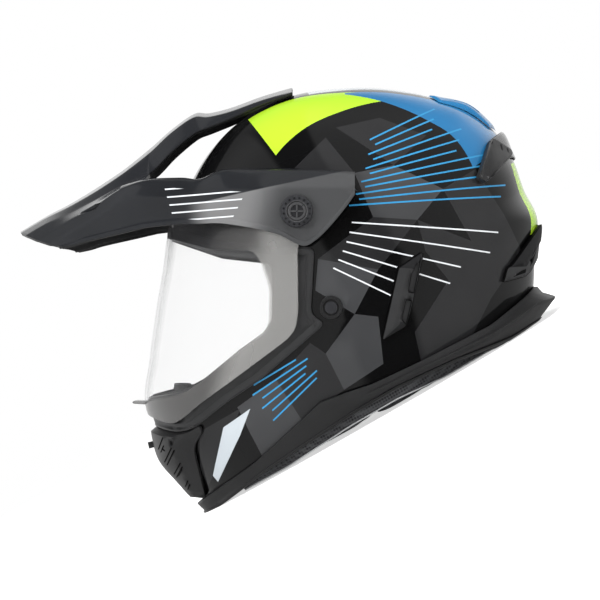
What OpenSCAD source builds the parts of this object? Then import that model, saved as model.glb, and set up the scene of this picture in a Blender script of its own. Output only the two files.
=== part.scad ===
// Full face adventure helmet: a hard shell with a long peak, a clear shield, vents,
// a rim skirt, crushable foam, a comfort lining and a chin strap with two D-rings.
// Everything is drawn as worn, facing -x, with the origin on the shield's pivot axis.
// stand() then tips it onto its rim, as it stands on a table.

/* [Shell] */
// Half width of the shell at its widest
shell_half_w = 122; // [116:0.5:128]
// Reach of the shell's back from its middle
shell_back_r = 148; // [143:0.5:154]
// Reach of the crown from the middle
shell_crown_r = 139; // [135:0.5:143]
// Reach of the brow from the middle
shell_brow_r = 141.5; // [138:0.5:144]
// Reach of the chin bar from the middle
shell_chin_r = 216; // [210:0.5:222]
// Thickness of the shell's wall
shell_t = 3.2; // [2.4:0.1:4]
// Angle between the rim on a table and the level of the eyes
rim_tilt = 30; // [28:0.5:32]

/* [Eyeport and shield] */
// Rear edge of the eyeport, ahead of the pivot
eyeport_rear_x = -18; // [-24:1:-14]
// How far the matte frame stands on the shell
frame_t = 2.6; // [2:0.1:3]
// Thickness of the clear shield
shield_t = 2.5; // [2:0.1:3]
// Radius of the shield's ear round the pivot
ear_r = 14; // [12:0.5:15]
// Radius of the hub that the ear turns on
hub_r = 8; // [7:0.25:9]
// How far the shield opens, in degrees
shield_open = 40; // [30:1:42]

/* [Peak] */
// Reach of the peak ahead of the pivot
peak_reach = 221; // [205:1:235]
// Half width of the peak at its front corners
peak_half_w = 85; // [78:1:92]
// Wall of the peak
peak_t = 2.6; // [2:0.1:3.2]
// Half width of the beam that runs up to the crown
beam_half_w = 34; // [30:1:38]
// Radius of the peak screw's head
screw_head_r = 12.4; // [11:0.1:13.5]
// Radius of the peak screw's shank
screw_r = 4; // [3:0.25:5]

/* [Trim and vents] */
// How far the rim skirt stands on the shell
skirt_t = 3.2; // [2.4:0.1:4]
// How far the skirt's collar flares out behind
collar_flare = 14; // [10:0.5:17]
// How far the side vents stand on the shell
side_vent_t = 4; // [3:0.1:5]
// How far the rear spoiler stands on the shell
spoiler_t = 4.5; // [3.5:0.1:6]
// How far the chin vent stands on the shell
chin_vent_t = 8.5; // [7.5:0.1:9.5]
// Radius of the round side plugs
plug_r = 9; // [8:0.25:10]

/* [Lining] */
// Thickness of the crushable foam
foam_t = 28; // [24:0.5:32]
// Thickness of the crown lining
liner_t = 9; // [7:0.5:11]
// Thickness of the cheek pads
cheek_t = 18; // [14:0.5:21]

/* [Chin strap] */
// Width of the webbing
strap_w = 22; // [18:0.5:25]
// Thickness of the webbing
strap_t = 2; // [1.5:0.1:2.5]
// Wire diameter of the D-rings
ring_wire = 3.6; // [3:0.1:4]
// Reach of a D-ring from its bar
ring_reach = 19; // [18.5:0.5:20]

/* [Hidden] */
// Gap between neighbouring pieces of the shell's trim
seat_gap = 0.4;
// Gap of a pin in its bore
fit_gap = 0.08;
// Steps round the skin, and from the rim of a section to its side
skin_turns = 60;
skin_lats = 9;
lining_turns = 30;
lining_lats = 6;
far = 400;

// Middle of the shell, measured from the shield's pivot axis
mid_x = 42;
mid_z = -36;

// The outlines are drawn for these sizes, and follow the ones set above
drawn_half_w = 122;
drawn_back = 148;
drawn_crown = 139;
drawn_brow = 141.5;
drawn_chin = 216;
// Growth of the side view against the drawing: [angle round the middle, factor]
growth = [
    [0, shell_back_r / drawn_back], [50, shell_back_r / drawn_back], [62, shell_crown_r / drawn_crown],
    [130, shell_crown_r / drawn_crown], [155, shell_brow_r / drawn_brow], [206, shell_brow_r / drawn_brow],
    [214, shell_chin_r / drawn_chin], [280, shell_chin_r / drawn_chin], [310, shell_back_r / drawn_back],
    [360, shell_back_r / drawn_back]
];
// A drawn distance from the middle plane, moved with the helmet's width
function wide(y) = y * shell_half_w / drawn_half_w;
// Growth at one angle
function growth_at(angle) = lookup((angle + 360) % 360, growth);
// Reach of the drawn middle line from its middle: [angle, reach], 0 behind, 90 up
drawn = [
    [0, 148], [13, 154], [22, 150.5], [36, 155], [50, 154], [62, 146.5], [76, 141], [94, 138],
    [110, 140], [130, 142], [155, 141.5], [180, 141.5], [194, 152.5], [206, 171], [214, 191],
    [220, 200], [226, 212], [232, 216], [238, 221], [246, 226], [258, 225], [280, 206],
    [300, 187], [320, 168], [340, 153]
];
profile = [for (p = drawn) [p[0], p[1] * growth_at(p[0])]];
// A drawn point of the side view, moved with the skin. The pivot stays
function fit(p) = let (d = p - [mid_x, mid_z])
    p + d * (growth_at(atan2(d[1], d[0])) - 1) * min(1, norm(p) / 60);
function fit_all(line) = [for (p = line) fit(p)];

function profile_at(i) = let (n = len(profile), k = (i + n) % n)
    [profile[k][0] + 360 * floor(i / n), profile[k][1]];
function slope_at(i) = let (a = profile_at(i - 1), b = profile_at(i + 1))
    (b[1] - a[1]) / (b[0] - a[0]);
// Smooth curve through the profile's points
function reach(angle) = let (
        t = (angle + 360) % 360,
        i = len([for (p = profile) if (p[0] <= t) p]) - 1,
        a = profile_at(i), b = profile_at(i + 1),
        w = b[0] - a[0], s = (t - a[0]) / w)
    a[1] * (1 + 2 * s) * pow(1 - s, 2) + b[1] * s * s * (3 - 2 * s)
    + w * slope_at(i) * s * pow(1 - s, 2) - w * slope_at(i + 1) * s * s * (1 - s);

// The cross-section is a superellipse: round at the chin, fuller over the head
function fullness(angle) = let (d = (angle + 318) % 360 - 180)
    2.3 - 0.3 * exp(-pow(d / 35, 2));
function signed_pow(b, e) = sign(b) * pow(abs(b), e);
// A point of the skin: angle round the middle, latitude towards the sides, offset outwards
function skin(angle, lat, off = 0) = let (
        e = 2 / fullness(angle), r = (reach(angle) + off) * pow(cos(lat), e))
    [mid_x + r * cos(angle), (shell_half_w + off) * signed_pow(sin(lat), e), mid_z + r * sin(angle)];
// Half width of the skin over a point of the side view
function side_y(x, z, off = 0) = let (
        dx = x - mid_x, dz = z - mid_z, angle = atan2(dz, dx), n = fullness(angle + 360),
        q = norm([dx, dz]) / (reach(angle + 360) + off))
    q >= 1 ? 0 : (shell_half_w + off) * pow(1 - pow(q, n), 1 / n);
// Height of the middle line over x, near the crown
function crown_angle(x, off, tries = 5) = tries == 0 ? 90
    : acos((x - mid_x) / (reach(crown_angle(x, off, tries - 1)) + off));
function crown_z(x, off = 0) = mid_z + (reach(crown_angle(x, off)) + off) * sin(crown_angle(x, off));

// Places on the side view that more than one piece uses
plug_at = fit([26, -73]);
rim_line = fit_all([
    [-150, -240.5], [-77, -240.5], [-64, -232.5], [-28, -203], [2, -182], [41, -156],
    [77, -135], [121, -115], [166, -98.6], [186, -87.6], [240, -62]
]);
skirt_line = fit_all([
    [-150, -230], [-78, -229], [-70, -221], [-33, -193], [18, -145], [37, -138],
    [58, -131], [94, -114], [150, -86], [179, -64], [187, -57], [240, -50]
]);
eyeport = fit_all([
    [-170, -14], [-104, -19], [-62, -33], [eyeport_rear_x - 6, -37],
    [eyeport_rear_x - 1, -43], [eyeport_rear_x, -56], [eyeport_rear_x - 1, -82],
    [eyeport_rear_x - 9, -95], [-48, -108.5], [-72, -129.5], [-84, -136], [-116, -143], [-170, -150]
]);
frame_outline = fit_all([
    [14, -27], [12.5, -50], [11, -78], [22, -84.5], [-28, -128], [-52, -144], [-73, -161],
    [-82, -166.5], [-92, -168.5], [-101, -167.5], [-116, -164], [-170, -156],
    [-170, -5], [-104, -7], [-62, -21], [-20, -27]
]);
shield_outline = fit_all([
    [12, 6], [2, -27], [2, -76], [0, -88], [-5, -94.5], [-14, -101.5], [-40, -121], [-72, -144.5],
    [-84, -155], [-92, -160], [-102, -158.5], [-121, -152], [-170, -140], [-170, -1],
    [-98, -4], [-60, -7], [-38, -6], [-22, 0], [-10, 9]
]);
chin_vent_outline = fit_all([
    [-170, -157], [-116, -165.5], [-101, -169], [-92, -170], [-82, -168], [-74.5, -163.5],
    [-72.5, -169], [-78.5, -179], [-79, -185], [-71.5, -219], [-78.5, -227], [-170, -227]
]);
side_vent_outline = fit_all([
    [97, -31], [95, -30], [78, -41.5], [65, -96], [66, -97.5], [83.5, -88], [87.5, -78]
]);
spoiler_outline = fit_all([[137, 25], [148, 55.5], [165, 68], [200, 78], [200, 40], [168, 45], [144, 22]]);
lower_vent_outline = fit_all([
    [158, -53.5], [161, -42], [174, -37.5], [184, -27], [210, -22], [210, -50], [176, -50]
]);

// Heights in the stack on each pivot, outwards from the middle plane
plate_out = side_y(12, -14) + 2.6;
plate_r = ear_r - 2.2;
ear_in = plate_out + 0.3;
ear_out = ear_in + shield_t;
hub_out = ear_out + 0.25;
wing_in = hub_out + 0.7;
wing_out = wing_in + peak_t;
head_in = wing_out + 0.3;
head_out = head_in + 5.5;
nut_out = side_y(-6, 6) - shell_t - 3.4;

// Depths of the layers under the shell
foam_out = -shell_t - 0.9;
foam_in = foam_out - foam_t;
pad_out = foam_in - 0.6;

// Where the straps are riveted to the shell on the side view, and the same in the standing frame
strap_at = fit([18, -148]);
strap_root_y = min([for (dx = [-0.5, 0.5], dz = [-7, 7]) let (p = worn([dx * strap_w, dz]))
    side_y(strap_at[0] + p[0], strap_at[1] + p[1], -shell_t)]) - strap_t / 2 - 0.9;

function raised(line, dz) = [for (p = line) p + [0, dz]];
function over(line) = concat(line, [[240, 300], [-260, 300]]);

// Keeps what it holds as one mesh
module mesh() { resize([0, 0, 0]) children(); }
// Closed body bounded by the skin at an offset
module blob(off, turns, lats, shape = function(p) p) {
    rings = 2 * lats - 1;
    points = concat(
        [for (i = [0:rings - 1]) for (j = [0:turns - 1])
            shape(skin(j * 360 / turns, (i + 1) * 90 / lats - 90, off))],
        [for (s = [-1, 1]) shape([mid_x, s * (shell_half_w + off), mid_z])]);
    low = rings * turns;
    last = low - turns;
    faces = concat(
        [for (i = [0:rings - 2]) for (j = [0:turns - 1]) let (
                a = i * turns + j, b = i * turns + (j + 1) % turns)
            each [[a, b, b + turns], [a, b + turns, a + turns]]],
        [for (j = [0:turns - 1]) let (k = (j + 1) % turns)
            each [[low, k, j], [low + 1, last + j, last + k]]]);
    polyhedron(points, faces);
}
// The space between two offsets of the skin
module layer(inner, outer, turns = skin_turns, lats = skin_lats, shape = function(p) p) {
    difference() {
        blob(outer, turns, lats, shape);
        blob(inner, turns, lats, shape);
    }
}
// A side-view outline run right across
module across(w = far) { rotate([90, 0, 0]) linear_extrude(w, center = true) children(); }
// A side-view outline over the left side only
module on_left() { rotate([90, 0, 0]) linear_extrude(far / 2) children(); }
// Puts a shape whose z points outwards on the left side, at a depth from the middle plane
module at_left(x, z, depth) { translate([x, 0, z]) rotate([90, 0, 0]) translate([0, 0, depth]) children(); }
// Draws a left piece on the right
module right() { mirror([0, 1, 0]) children(); }
module both_sides() { children(); right() children(); }

// The standing frame: floor at z = 0, middle of the footprint at x = 0
floor_drop = floor(10 * min([for (i = [1, 8]) -standing(rim_line[i])[1]])) / 10;
strap_x = standing(strap_at)[0];
strap_z = standing(strap_at)[1] + floor_drop;
function standing(p) = [p[0] * cos(rim_tilt) + p[1] * sin(rim_tilt),
    p[1] * cos(rim_tilt) - p[0] * sin(rim_tilt)];
function worn(p) = [p[0] * cos(rim_tilt) - p[1] * sin(rim_tilt),
    p[1] * cos(rim_tilt) + p[0] * sin(rim_tilt)];
spoiler_tip = max([for (a = [20:1:60]) standing([mid_x, mid_z]
    + (reach(a) + (a > 31 && a < 42 ? spoiler_t : 0)) * [cos(a), sin(a)])[0]]);
peak_tip = standing([-peak_reach, -13])[0];
stand_x = -(peak_tip + spoiler_tip) / 2;
module stand() {
    translate([stand_x, 0, floor_drop]) rotate([0, rim_tilt, 0]) children();
}
// Everything over the table, in the worn frame
module over_floor(lift = 0) {
    rotate([0, -rim_tilt, 0]) translate([-far, -far, lift - floor_drop]) cube([2 * far, 2 * far, 2 * far]);
}

module outer_shell() {
    color("#17191c") stand() difference() {
        mesh() difference() {
            intersection() {
                layer(-shell_t, 0);
                across() polygon(over(raised(rim_line, 3.4)));
            }
            across() offset(delta = 3.4) polygon(eyeport);
            spoiler_ports(4);
            lower_ports(4);
            across() offset(delta = -6) polygon(side_vent_outline);
            chin_port();
            crown_ducts(6);
        }
        both_sides() {
            at_left(0, 0, 90) cylinder(h = 60, r = screw_r + fit_gap, $fn = 48);
            at_left(plug_at[0], plug_at[1], 90) cylinder(h = 60, r = 4, $fn = 48);
            at_left(strap_at[0], strap_at[1], 90) cylinder(h = 60, r = rivet_r + fit_gap, $fn = 48);
        }
    }
}

module eyeport_frame() {
    color("#26282b") stand() mesh() difference() {
        intersection() {
            layer(seat_gap, seat_gap + frame_t);
            across() polygon(frame_outline);
        }
        across() offset(delta = 0.6) polygon(eyeport);
    }
}

module eyeport_gasket() {
    color("#101113") stand() mesh() intersection() {
        layer(-shell_t - 5, 0.2);
        across() difference() {
            offset(delta = 3) polygon(eyeport);
            polygon(eyeport);
        }
        across() polygon([[fit([-128, -80])[0], 40], fit([-128, -190]), [60, -190], [60, 40]]);
    }
}

// Air inlet through the chin bar, in the shell and a little wider in the foam
module chin_port(grow = 0) {
    low = fit([-80, -213]);
    high = fit([-80, -181]);
    translate([low[0] - 60, -22 - grow, low[1] - grow])
        cube([60, 44 + 2 * grow, high[1] - low[1] + 2 * grow]);
}
// The shutter slides along a line that follows the front of the chin bar
shutter_angle = 223;
shutter_at = skin(shutter_angle, 0, 2.5);
shutter_t = 1.6;
shutter_h = 6.5;
// Bend of the chin bar in plan
shutter_bend = pow(shell_half_w, 2) / (mid_x - shutter_at[0]);
shutter_lean = atan2(skin(shutter_angle + 3, 0)[0] - skin(shutter_angle - 3, 0)[0],
    skin(shutter_angle - 3, 0)[2] - skin(shutter_angle + 3, 0)[2]);
shutter_travel = 6;
module at_shutter() { translate(shutter_at) rotate([0, -shutter_lean, 0]) children(); }
// Three slots on each side of the middle, and the slot that the shutter's knob runs in
module chin_slots() {
    both_sides() for (i = [0:2]) let (at = fit([-70, -185.5 - i * 11]))
        translate([at[0] - 80, -28, at[1]]) cube([80, 21, 5]);
    at_shutter() translate([-12, -2.9, -3.2 - shutter_travel / 2]) cube([14, 5.8, shutter_travel + 6.4]);
}
module chin_vent() {
    color("#202225") stand() mesh() difference() {
        intersection() {
            layer(seat_gap, chin_vent_t);
            across() polygon(chin_vent_outline);
        }
        intersection() {
            layer(-1, chin_vent_t - 2.4);
            across() offset(delta = -4) polygon(chin_vent_outline);
        }
        chin_slots();
    }
}
// Slide behind the slots, bent like the chin bar, resting at the low end of its travel
module chin_vent_shutter() {
    color("#303338") stand() at_shutter() translate([0, 0, -shutter_travel / 2]) {
        linear_extrude(shutter_h, center = true) intersection() {
            translate([shutter_bend, 0]) difference() {
                circle(shutter_bend + shutter_t / 2, $fn = 96);
                circle(shutter_bend - shutter_t / 2, $fn = 96);
            }
            square([20, 44], center = true);
        }
        translate([-9, -2.3, -2.5]) cube([9, 4.6, 5]);
    }
}

// The point of the skin over a side-view line, seen from the middle at a heading round the head
function on_skin(heading, line, off, low = 20, high = 260, tries = 16) = let (
        r = (low + high) / 2, x = mid_x + r * cos(heading), z = lookup(x, line),
        inside = side_y(x, z, off) > abs(r * sin(heading)) && side_y(x, z, off) > 0)
    tries == 0 ? [x, r * sin(heading), z]
    : inside ? on_skin(heading, line, off, r, high, tries - 1)
    : on_skin(heading, line, off, low, r, tries - 1);
// The collar flares out behind, along a ridge below the skirt's upper edge
ridge_line = [for (p = skirt_line) [p[0], p[1] + 0.42 * (lookup(p[0], rim_line) - p[1])]];
function flare(heading) = let (s = min(1, max(0, (105 - min(heading, 360 - heading)) / 85)))
    collar_flare * s * s * (3 - 2 * s);
// In front the skirt's lower edge stands out as a short lip
function lip(heading) = 5.5 * exp(-pow((heading - 180) / 26, 2));
function skirt_section(h) = [
    on_skin(h, skirt_line, skirt_t), on_skin(h, ridge_line, skirt_t + flare(h)),
    on_skin(h, raised(ridge_line, -3), skirt_t + 0.9 * flare(h)), on_skin(h, rim_line, skirt_t + lip(h)),
    on_skin(h, rim_line, -5), on_skin(h, raised(rim_line, 3), -5),
    on_skin(h, raised(rim_line, 3), seat_gap), on_skin(h, skirt_line, seat_gap)
];
// A closed ring through equal sections
module ring(sections) {
    n = len(sections);
    m = len(sections[0]);
    polyhedron([for (s = sections) each s], [for (i = [0:n - 1]) for (j = [0:m - 1]) let (
            a = i * m + j, b = i * m + (j + 1) % m, c = ((i + 1) % n) * m + (j + 1) % m,
            d = ((i + 1) % n) * m + j)
        each [[a, c, b], [a, d, c]]]);
}
module rim_skirt() {
    color("#1d1f22") stand() mesh() intersection() {
        ring([for (i = [0:71]) skirt_section(i * 5)]);
        over_floor();
    }
}

module side_vent_left() {
    color("#1a1c1f") stand() mesh() difference() {
        intersection() {
            layer(seat_gap, side_vent_t);
            on_left() polygon(side_vent_outline);
        }
        on_left() polygon(fit_all([[90, -42], [85, -44], [74, -84], [79, -83]]));
    }
}
module side_vent_right() { right() side_vent_left(); }

// Outlets under the spoiler and through the lower vent, one on each side
module spoiler_ports(shrink = 0) {
    low = fit([170, 36]);
    both_sides() translate([low[0] - 30, 28 + shrink, low[1]]) cube([60, 36 - 2 * shrink, 9]);
}
module lower_ports(shrink = 0) {
    low = fit([180, -46]);
    both_sides() translate([low[0] - 30, 14 + shrink, low[1]]) cube([60, 40 - 2 * shrink, 6]);
}
module rear_spoiler() {
    color("#24262a") stand() mesh() difference() {
        intersection() {
            layer(seat_gap, spoiler_t);
            across() polygon(spoiler_outline);
        }
        spoiler_ports();
    }
}
module rear_lower_vent() {
    color("#1a1c1f") stand() mesh() difference() {
        intersection() {
            layer(seat_gap, seat_gap + 2.4);
            across() polygon(lower_vent_outline);
        }
        lower_ports();
    }
}

// Top-view outline of one crown vent, its slot and the duct under it
module crown_outline(shrink = 0) {
    corners = [[104, -22], [112, -40], [152, -36], [158, -18]];
    offset(delta = -shrink) polygon([for (p = corners) crown_fit(p)]);
}
// A drawn point of the top view, moved with the back of the skin
function crown_fit(p) = [mid_x + (p[0] - mid_x) * shell_back_r / drawn_back, wide(p[1])];
module crown_ducts(shrink) {
    both_sides() linear_extrude(far) crown_outline(shrink);
}
module crown_vent_left() {
    color("#2f7fc0") stand() mesh() difference() {
        intersection() {
            layer(seat_gap, seat_gap + 4.5);
            linear_extrude(far) crown_outline();
        }
        linear_extrude(far) translate(crown_fit([134, -28])) square([20, 7], center = true);
    }
}
module crown_vent_right() { right() crown_vent_left(); }

module side_plug_left() {
    out = side_y(plug_at[0], plug_at[1]) + 1.2;
    color("#222427") stand() at_left(plug_at[0], plug_at[1], out) difference() {
        rotate_extrude($fn = 64) polygon([[0, -9], [3.9, -9], [3.9, -0.6], [plug_r, -0.6],
            [plug_r, 1.4], [plug_r - 1.2, 2.6], [plug_r - 2.6, 2.6], [plug_r - 3.2, 1.6],
            [plug_r - 4, 1.6], [plug_r - 4.6, 2.8], [0, 3.4]]);
        for (i = [0:7]) rotate(i * 45) translate([plug_r, 0, 2.4]) cube([3, 2, 3], center = true);
    }
}
module side_plug_right() { right() side_plug_left(); }

module pivot_plate_left() {
    color("#3a3d42") stand() difference() {
        union() {
            mesh() difference() {
                at_left(0, 0, 100) cylinder(h = plate_out - 100, r = plate_r, $fn = 64);
                blob(seat_gap, skin_turns, skin_lats);
            }
            at_left(0, 0, plate_out - 0.5) cylinder(h = hub_out - plate_out + 0.5, r = hub_r, $fn = 64);
        }
        at_left(0, 0, 90) cylinder(h = 60, r = screw_r + fit_gap, $fn = 48);
    }
}
module pivot_plate_right() { right() pivot_plate_left(); }

// Near the pivot the shield rises to the level of its flat ear
function ear_level(p) = let (
        d = norm([p[0], p[2]]), s = min(1, max(0, (ear_r + 24 - d) / 17)), w = s * s * (3 - 2 * s),
        rise = abs(p[1]) - side_y(p[0], p[2]), level = rise < shield_seat + shield_t / 2 ? ear_in : ear_out)
    [p[0], (1 - w) * p[1] + w * sign(p[1]) * level, p[2]];
shield_seat = seat_gap + frame_t + 1.1;
module face_shield() {
    color("#dfe6ea", 0.35) stand() difference() {
        mesh() {
            difference() {
                intersection() {
                    layer(shield_seat, shield_seat + shield_t, skin_turns, 12, function(p) ear_level(p));
                    across() polygon(shield_outline);
                }
                across() circle(plate_r + 0.6, $fn = 48);
            }
            both_sides() at_left(0, 0, ear_in) cylinder(h = shield_t, r = ear_r, $fn = 48);
            lift_tab();
        }
        both_sides() at_left(0, 0, 90) cylinder(h = 60, r = hub_r + fit_gap, $fn = 64);
    }
}
// Lip at the bottom middle of the shield, to lift it by
tab_z = fit([-116, -147.5])[1];
tab_root = on_skin(180, [[-far, tab_z], [far, tab_z]], shield_seat + 0.7);
module lift_tab() {
    translate(tab_root + [-6, 0, 0]) cube([12, 20, 3], center = true);
}

// Rows of the peak from the front edge back. Each row runs outwards from the middle:
// ridge, shoulder, foot of the beam, top of the wing, middle of the wing, bottom of the wing
drawn_reach = 221;
drawn_peak_w = 85;
drawn_beam_w = 34;
bend_x = -117;
beam_y = beam_half_w - 1;
// A drawn point of the peak: the bill follows the peak's own sizes, and the rest the shell's
function peak_fit(p) = let (
        out = max(0, bend_x - p[0]) / (drawn_reach + bend_x),
        x = p[0] - out * (peak_reach - drawn_reach),
        y = p[1] * shell_half_w / drawn_half_w * (1 + min(1, out) * (peak_half_w / drawn_peak_w - 1)),
        q = fit([x, p[2]]))
    [x, y, q[1]];
function rows_fit(rows) = [for (row = rows) [for (p = row) peak_fit(p)]];
bill_rows = rows_fit([
    [[-221, 0, -12.5], [-219, 22, -14], [-213, 42, -16.5],
        [-204, 60, -20], [-192, 76, -24], [-181, 85, -27.5]],
    [[-200, 0, 2], [-199, 26, -1], [-196, 46, -6], [-190, 64, -12], [-182, 80, -19.5], [-172, 88.5, -26]],
    [[-180, 0, 15.5], [-180, 32, 11], [-179, 50, 3.5], [-176, 70, -3], [-170, 85, -12], [-162, 91, -23.5]],
    [[-158, 0, 30.4], [-158, beam_y, 25], [-158, 50, 14],
        [-157, 78, 8], [-154, 90, -3], [-148, 94.5, -20.5]],
    [[-136, 0, 44.8], [-136, beam_y, 39], [-136, 46, 26], [-137, 86, 20], [-137, 96, 8], [-134, 98.5, -17]],
    [[-117, 0, 57], [-117, beam_y, 50], [-116, 42, 33], [-117, 94, 25], [-118, 100.5, 12], [-117, 102, -13]]
]);
function beam_row(x, top, foot, foot_y) =
    [[x, 0, top], [x, beam_y, top - 5.5], [x, foot_y + beam_half_w - drawn_beam_w, foot]];
crown_gap = 4.1;
beam_rows = concat(
    [for (i = [4, 5]) [for (j = [0:2]) bill_rows[i][j]]],
    rows_fit([beam_row(-100, 69.5, 48, 41), beam_row(-82, 82, 63, 40), beam_row(-70, 82.5, 68.5, 39),
        beam_row(-52, 87, 76, 38)]),
    [beam_row(-28, crown_z(-28) + crown_gap + peak_t + 2.5, crown_z(-28) + 0.6, 37),
    beam_row(-4, crown_z(-4) + crown_gap + peak_t, crown_z(-4) + 0.4, 37)]);
// Half width of the wing's outside, as drawn
side = wing_out * drawn_half_w / shell_half_w;
wing_rows = concat(
    [concat([peak_fit([-136, 78, 21])], [for (j = [3:5]) bill_rows[4][j]]),
    concat([peak_fit([-117, 85, 26])], [for (j = [3:5]) bill_rows[5][j]])],
    rows_fit([
        [[-89, 92, 27], [-89, 99.5, 25.5], [-89, 106, 12], [-89, 107, -9]],
        [[-74, 96, 26], [-74, 104, 24.5], [-74, 111, 12], [-74, 112, -9]],
        [[-57, 101, 33], [-57, 110, 31], [-57, 119, 15], [-57, 121, -9]],
        [[-32, 105, 33.5], [-32, 115, 31.5], [-32, side - 1, 17], [-32, side - 0.6, -13]],
        [[-14, 109, 33.5], [-14, 119, 31.5], [-14, side, 18], [-14, side, -17.5]],
        [[4, 111, 33], [4, 121, 31], [4, side, 18], [4, side, -26]],
        [[14, 112.5, 32.5], [14, 122, 30.5], [14, side, 18], [14, side, -22]],
        [[25, 114, 32], [25, 122, 30], [25, side, 18], [25, side, -11.5]],
        [[37, 115, 31], [37, 121.5, 29], [37, side - 0.6, 19], [37, side - 0.4, 3]],
        [[44, 115.5, 30.5], [44, 121, 28.5], [44, side - 2, 21], [44, side - 1.6, 13]]
    ]));
function mirrored(row) = concat([for (j = [len(row) - 1:-1:1]) [row[j][0], -row[j][1], row[j][2]]], row);
// Upward normal of a grid of points at one of them
function normal_at(grid, i, j) = let (
        m = len(grid) - 1, n = len(grid[0]) - 1,
        along = grid[min(i + 1, m)][j] - grid[max(i - 1, 0)][j],
        out = grid[i][min(j + 1, n)] - grid[i][max(j - 1, 0)],
        c = cross(along, out))
    c / norm(c);
// A wall of even thickness under a grid of points
module sheet(grid, t) {
    rows = len(grid);
    cols = len(grid[0]);
    count = rows * cols;
    top = [for (row = grid) each row];
    under = [for (i = [0:rows - 1]) for (j = [0:cols - 1]) grid[i][j] - t * normal_at(grid, i, j)];
    faces = concat(
        [for (i = [0:rows - 2]) for (j = [0:cols - 2]) let (a = i * cols + j, d = a + cols)
            each [[a, a + 1, d + 1], [a, d + 1, d],
                [a + count, d + 1 + count, a + 1 + count], [a + count, d + count, d + 1 + count]]],
        [for (i = [0:rows - 2]) let (a = i * cols, d = a + cols, e = a + cols - 1, f = d + cols - 1)
            each [[a, d, d + count], [a, d + count, a + count],
                [e, f + count, f], [e, e + count, f + count]]],
        [for (j = [0:cols - 2]) let (a = j, b = j + 1, e = (rows - 1) * cols + j, f = e + 1)
            each [[b, a, a + count], [b, a + count, b + count],
                [e, f, f + count], [e, f + count, e + count]]]);
    polyhedron(concat(top, under), faces);
}

module peak() {
    color("#1b1d20") stand() difference() {
        union() {
            mesh() difference() {
                union() {
                    sheet([for (row = bill_rows) mirrored(row)], peak_t);
                    sheet([for (row = beam_rows) mirrored(row)], peak_t);
                    both_sides() right() sheet(wing_rows, peak_t);
                }
                across() circle(screw_head_r, $fn = 48);
                peak_slots();
            }
            both_sides() at_left(0, 0, wing_in) cylinder(h = peak_t, r = screw_head_r + 1, $fn = 96);
        }
        both_sides() at_left(0, 0, 90) cylinder(h = 60, r = screw_r + fit_gap, $fn = 48);
    }
}
// Narrow openings low in both sides of the bill
module peak_slots() {
    both_sides() translate([0, -70, 0]) on_left()
        polygon([for (p = [[-171, -1], [-165, 5], [-151, 8.5], [-156, 2.5]]) let (
            q = peak_fit([p[0], 80, p[1]])) [q[0], q[2]]]);
}

module peak_screw_left() {
    color("#2a2c30") stand() at_left(0, 0, 0) difference() {
        rotate_extrude($fn = 96) polygon([[0, nut_out - 4], [screw_r, nut_out - 4], [screw_r, head_in],
            [screw_head_r, head_in], [screw_head_r, head_in + 2], [screw_head_r - 2, head_out],
            [screw_head_r - 4.4, head_out], [screw_head_r - 5, head_out - 1],
            [0, head_out - 1]]);
        for (a = [0, 90]) rotate(a) translate([-6, -1.1, head_out - 3]) cube([12, 2.2, 5]);
    }
}
module peak_screw_right() { right() peak_screw_left(); }
module peak_nut_left() {
    color("#8b8f94") stand() at_left(0, 0, nut_out - 5) difference() {
        union() {
            cylinder(h = 5, r = 6, $fn = 6);
            translate([0, 0, 3.4]) cylinder(h = 1.6, r = 9, $fn = 48);
        }
        translate([0, 0, -1]) cylinder(h = 8, r = screw_r + fit_gap, $fn = 48);
    }
}
module peak_nut_right() { right() peak_nut_left(); }

chin_foam_in = -20;
module breath_deflector() {
    color("#15171a") stand() mesh() intersection() {
        layer(chin_foam_in - 2.8, chin_foam_in - 0.4, lining_turns, lining_lats);
        across() polygon(fit_all([[-170, -128], [-70, -136], [-70, -158], [-170, -166]]));
        translate([-200, -34, -200]) cube([160, 68, 200]);
    }
}

eps_low = raised(rim_line, 10);
module eps_liner() {
    color("#3b3d40") stand() mesh() difference() {
        intersection() {
            layer(foam_in, foam_out, lining_turns, lining_lats);
            across() polygon(concat([fit([64, -122.5])], [for (p = eps_low) if (p[0] > 70) p],
                [[240, 300], [-260, 300]],
                fit_all([[-260, 2], [-120, -8], [-60, -29], [-12, -31], [-8, -60], [64, -60]])));
        }
        nut_pockets();
        eyeport_room();
    }
}
// Room for the gasket and for sight through the lining
module eyeport_room(r = 3.6) { across() offset(delta = r) polygon(eyeport); }
module nut_pockets() {
    both_sides() at_left(0, 0, nut_out - 10) cylinder(h = 40, r = 12, $fn = 24);
}
module eps_chin() {
    color("#3b3d40") stand() mesh() difference() {
        intersection() {
            layer(chin_foam_in, foam_out, lining_turns, lining_lats);
            across() polygon(fit_all([[-170, -156], [-116, -149], [-84, -142], [-72, -136], [-52, -119],
                [-52, -210], [-64, -218], [-76, -224], [-170, -226]]));
        }
        chin_port(2);
        eyeport_room();
    }
}
cheek_outline = fit_all([
    [-51.4, -118], [-26, -100], [-12, -88], [-8, -60.6], [63.4, -60.6], [63.4, -132],
    [41, -146], [2, -172], [-28, -193], [-51.4, -209]
]);
// Way for the strap through the foam and the pad
module strap_channel() {
    half = wide(110);
    rotate([0, -rim_tilt, 0]) translate([strap_x - strap_w / 2 - 1, -half, strap_z - 13 - floor_drop])
        cube([strap_w + 2, 2 * half, 21]);
}
module eps_cheek_left() {
    color("#3b3d40") stand() mesh() difference() {
        intersection() {
            layer(foam_in, foam_out, lining_turns, lining_lats);
            on_left() polygon(cheek_outline);
        }
        strap_channel();
        eyeport_room();
        at_left(plug_at[0], plug_at[1], 100) cylinder(h = 40, r = 6, $fn = 24);
    }
}
module eps_cheek_right() { right() eps_cheek_left(); }

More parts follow.
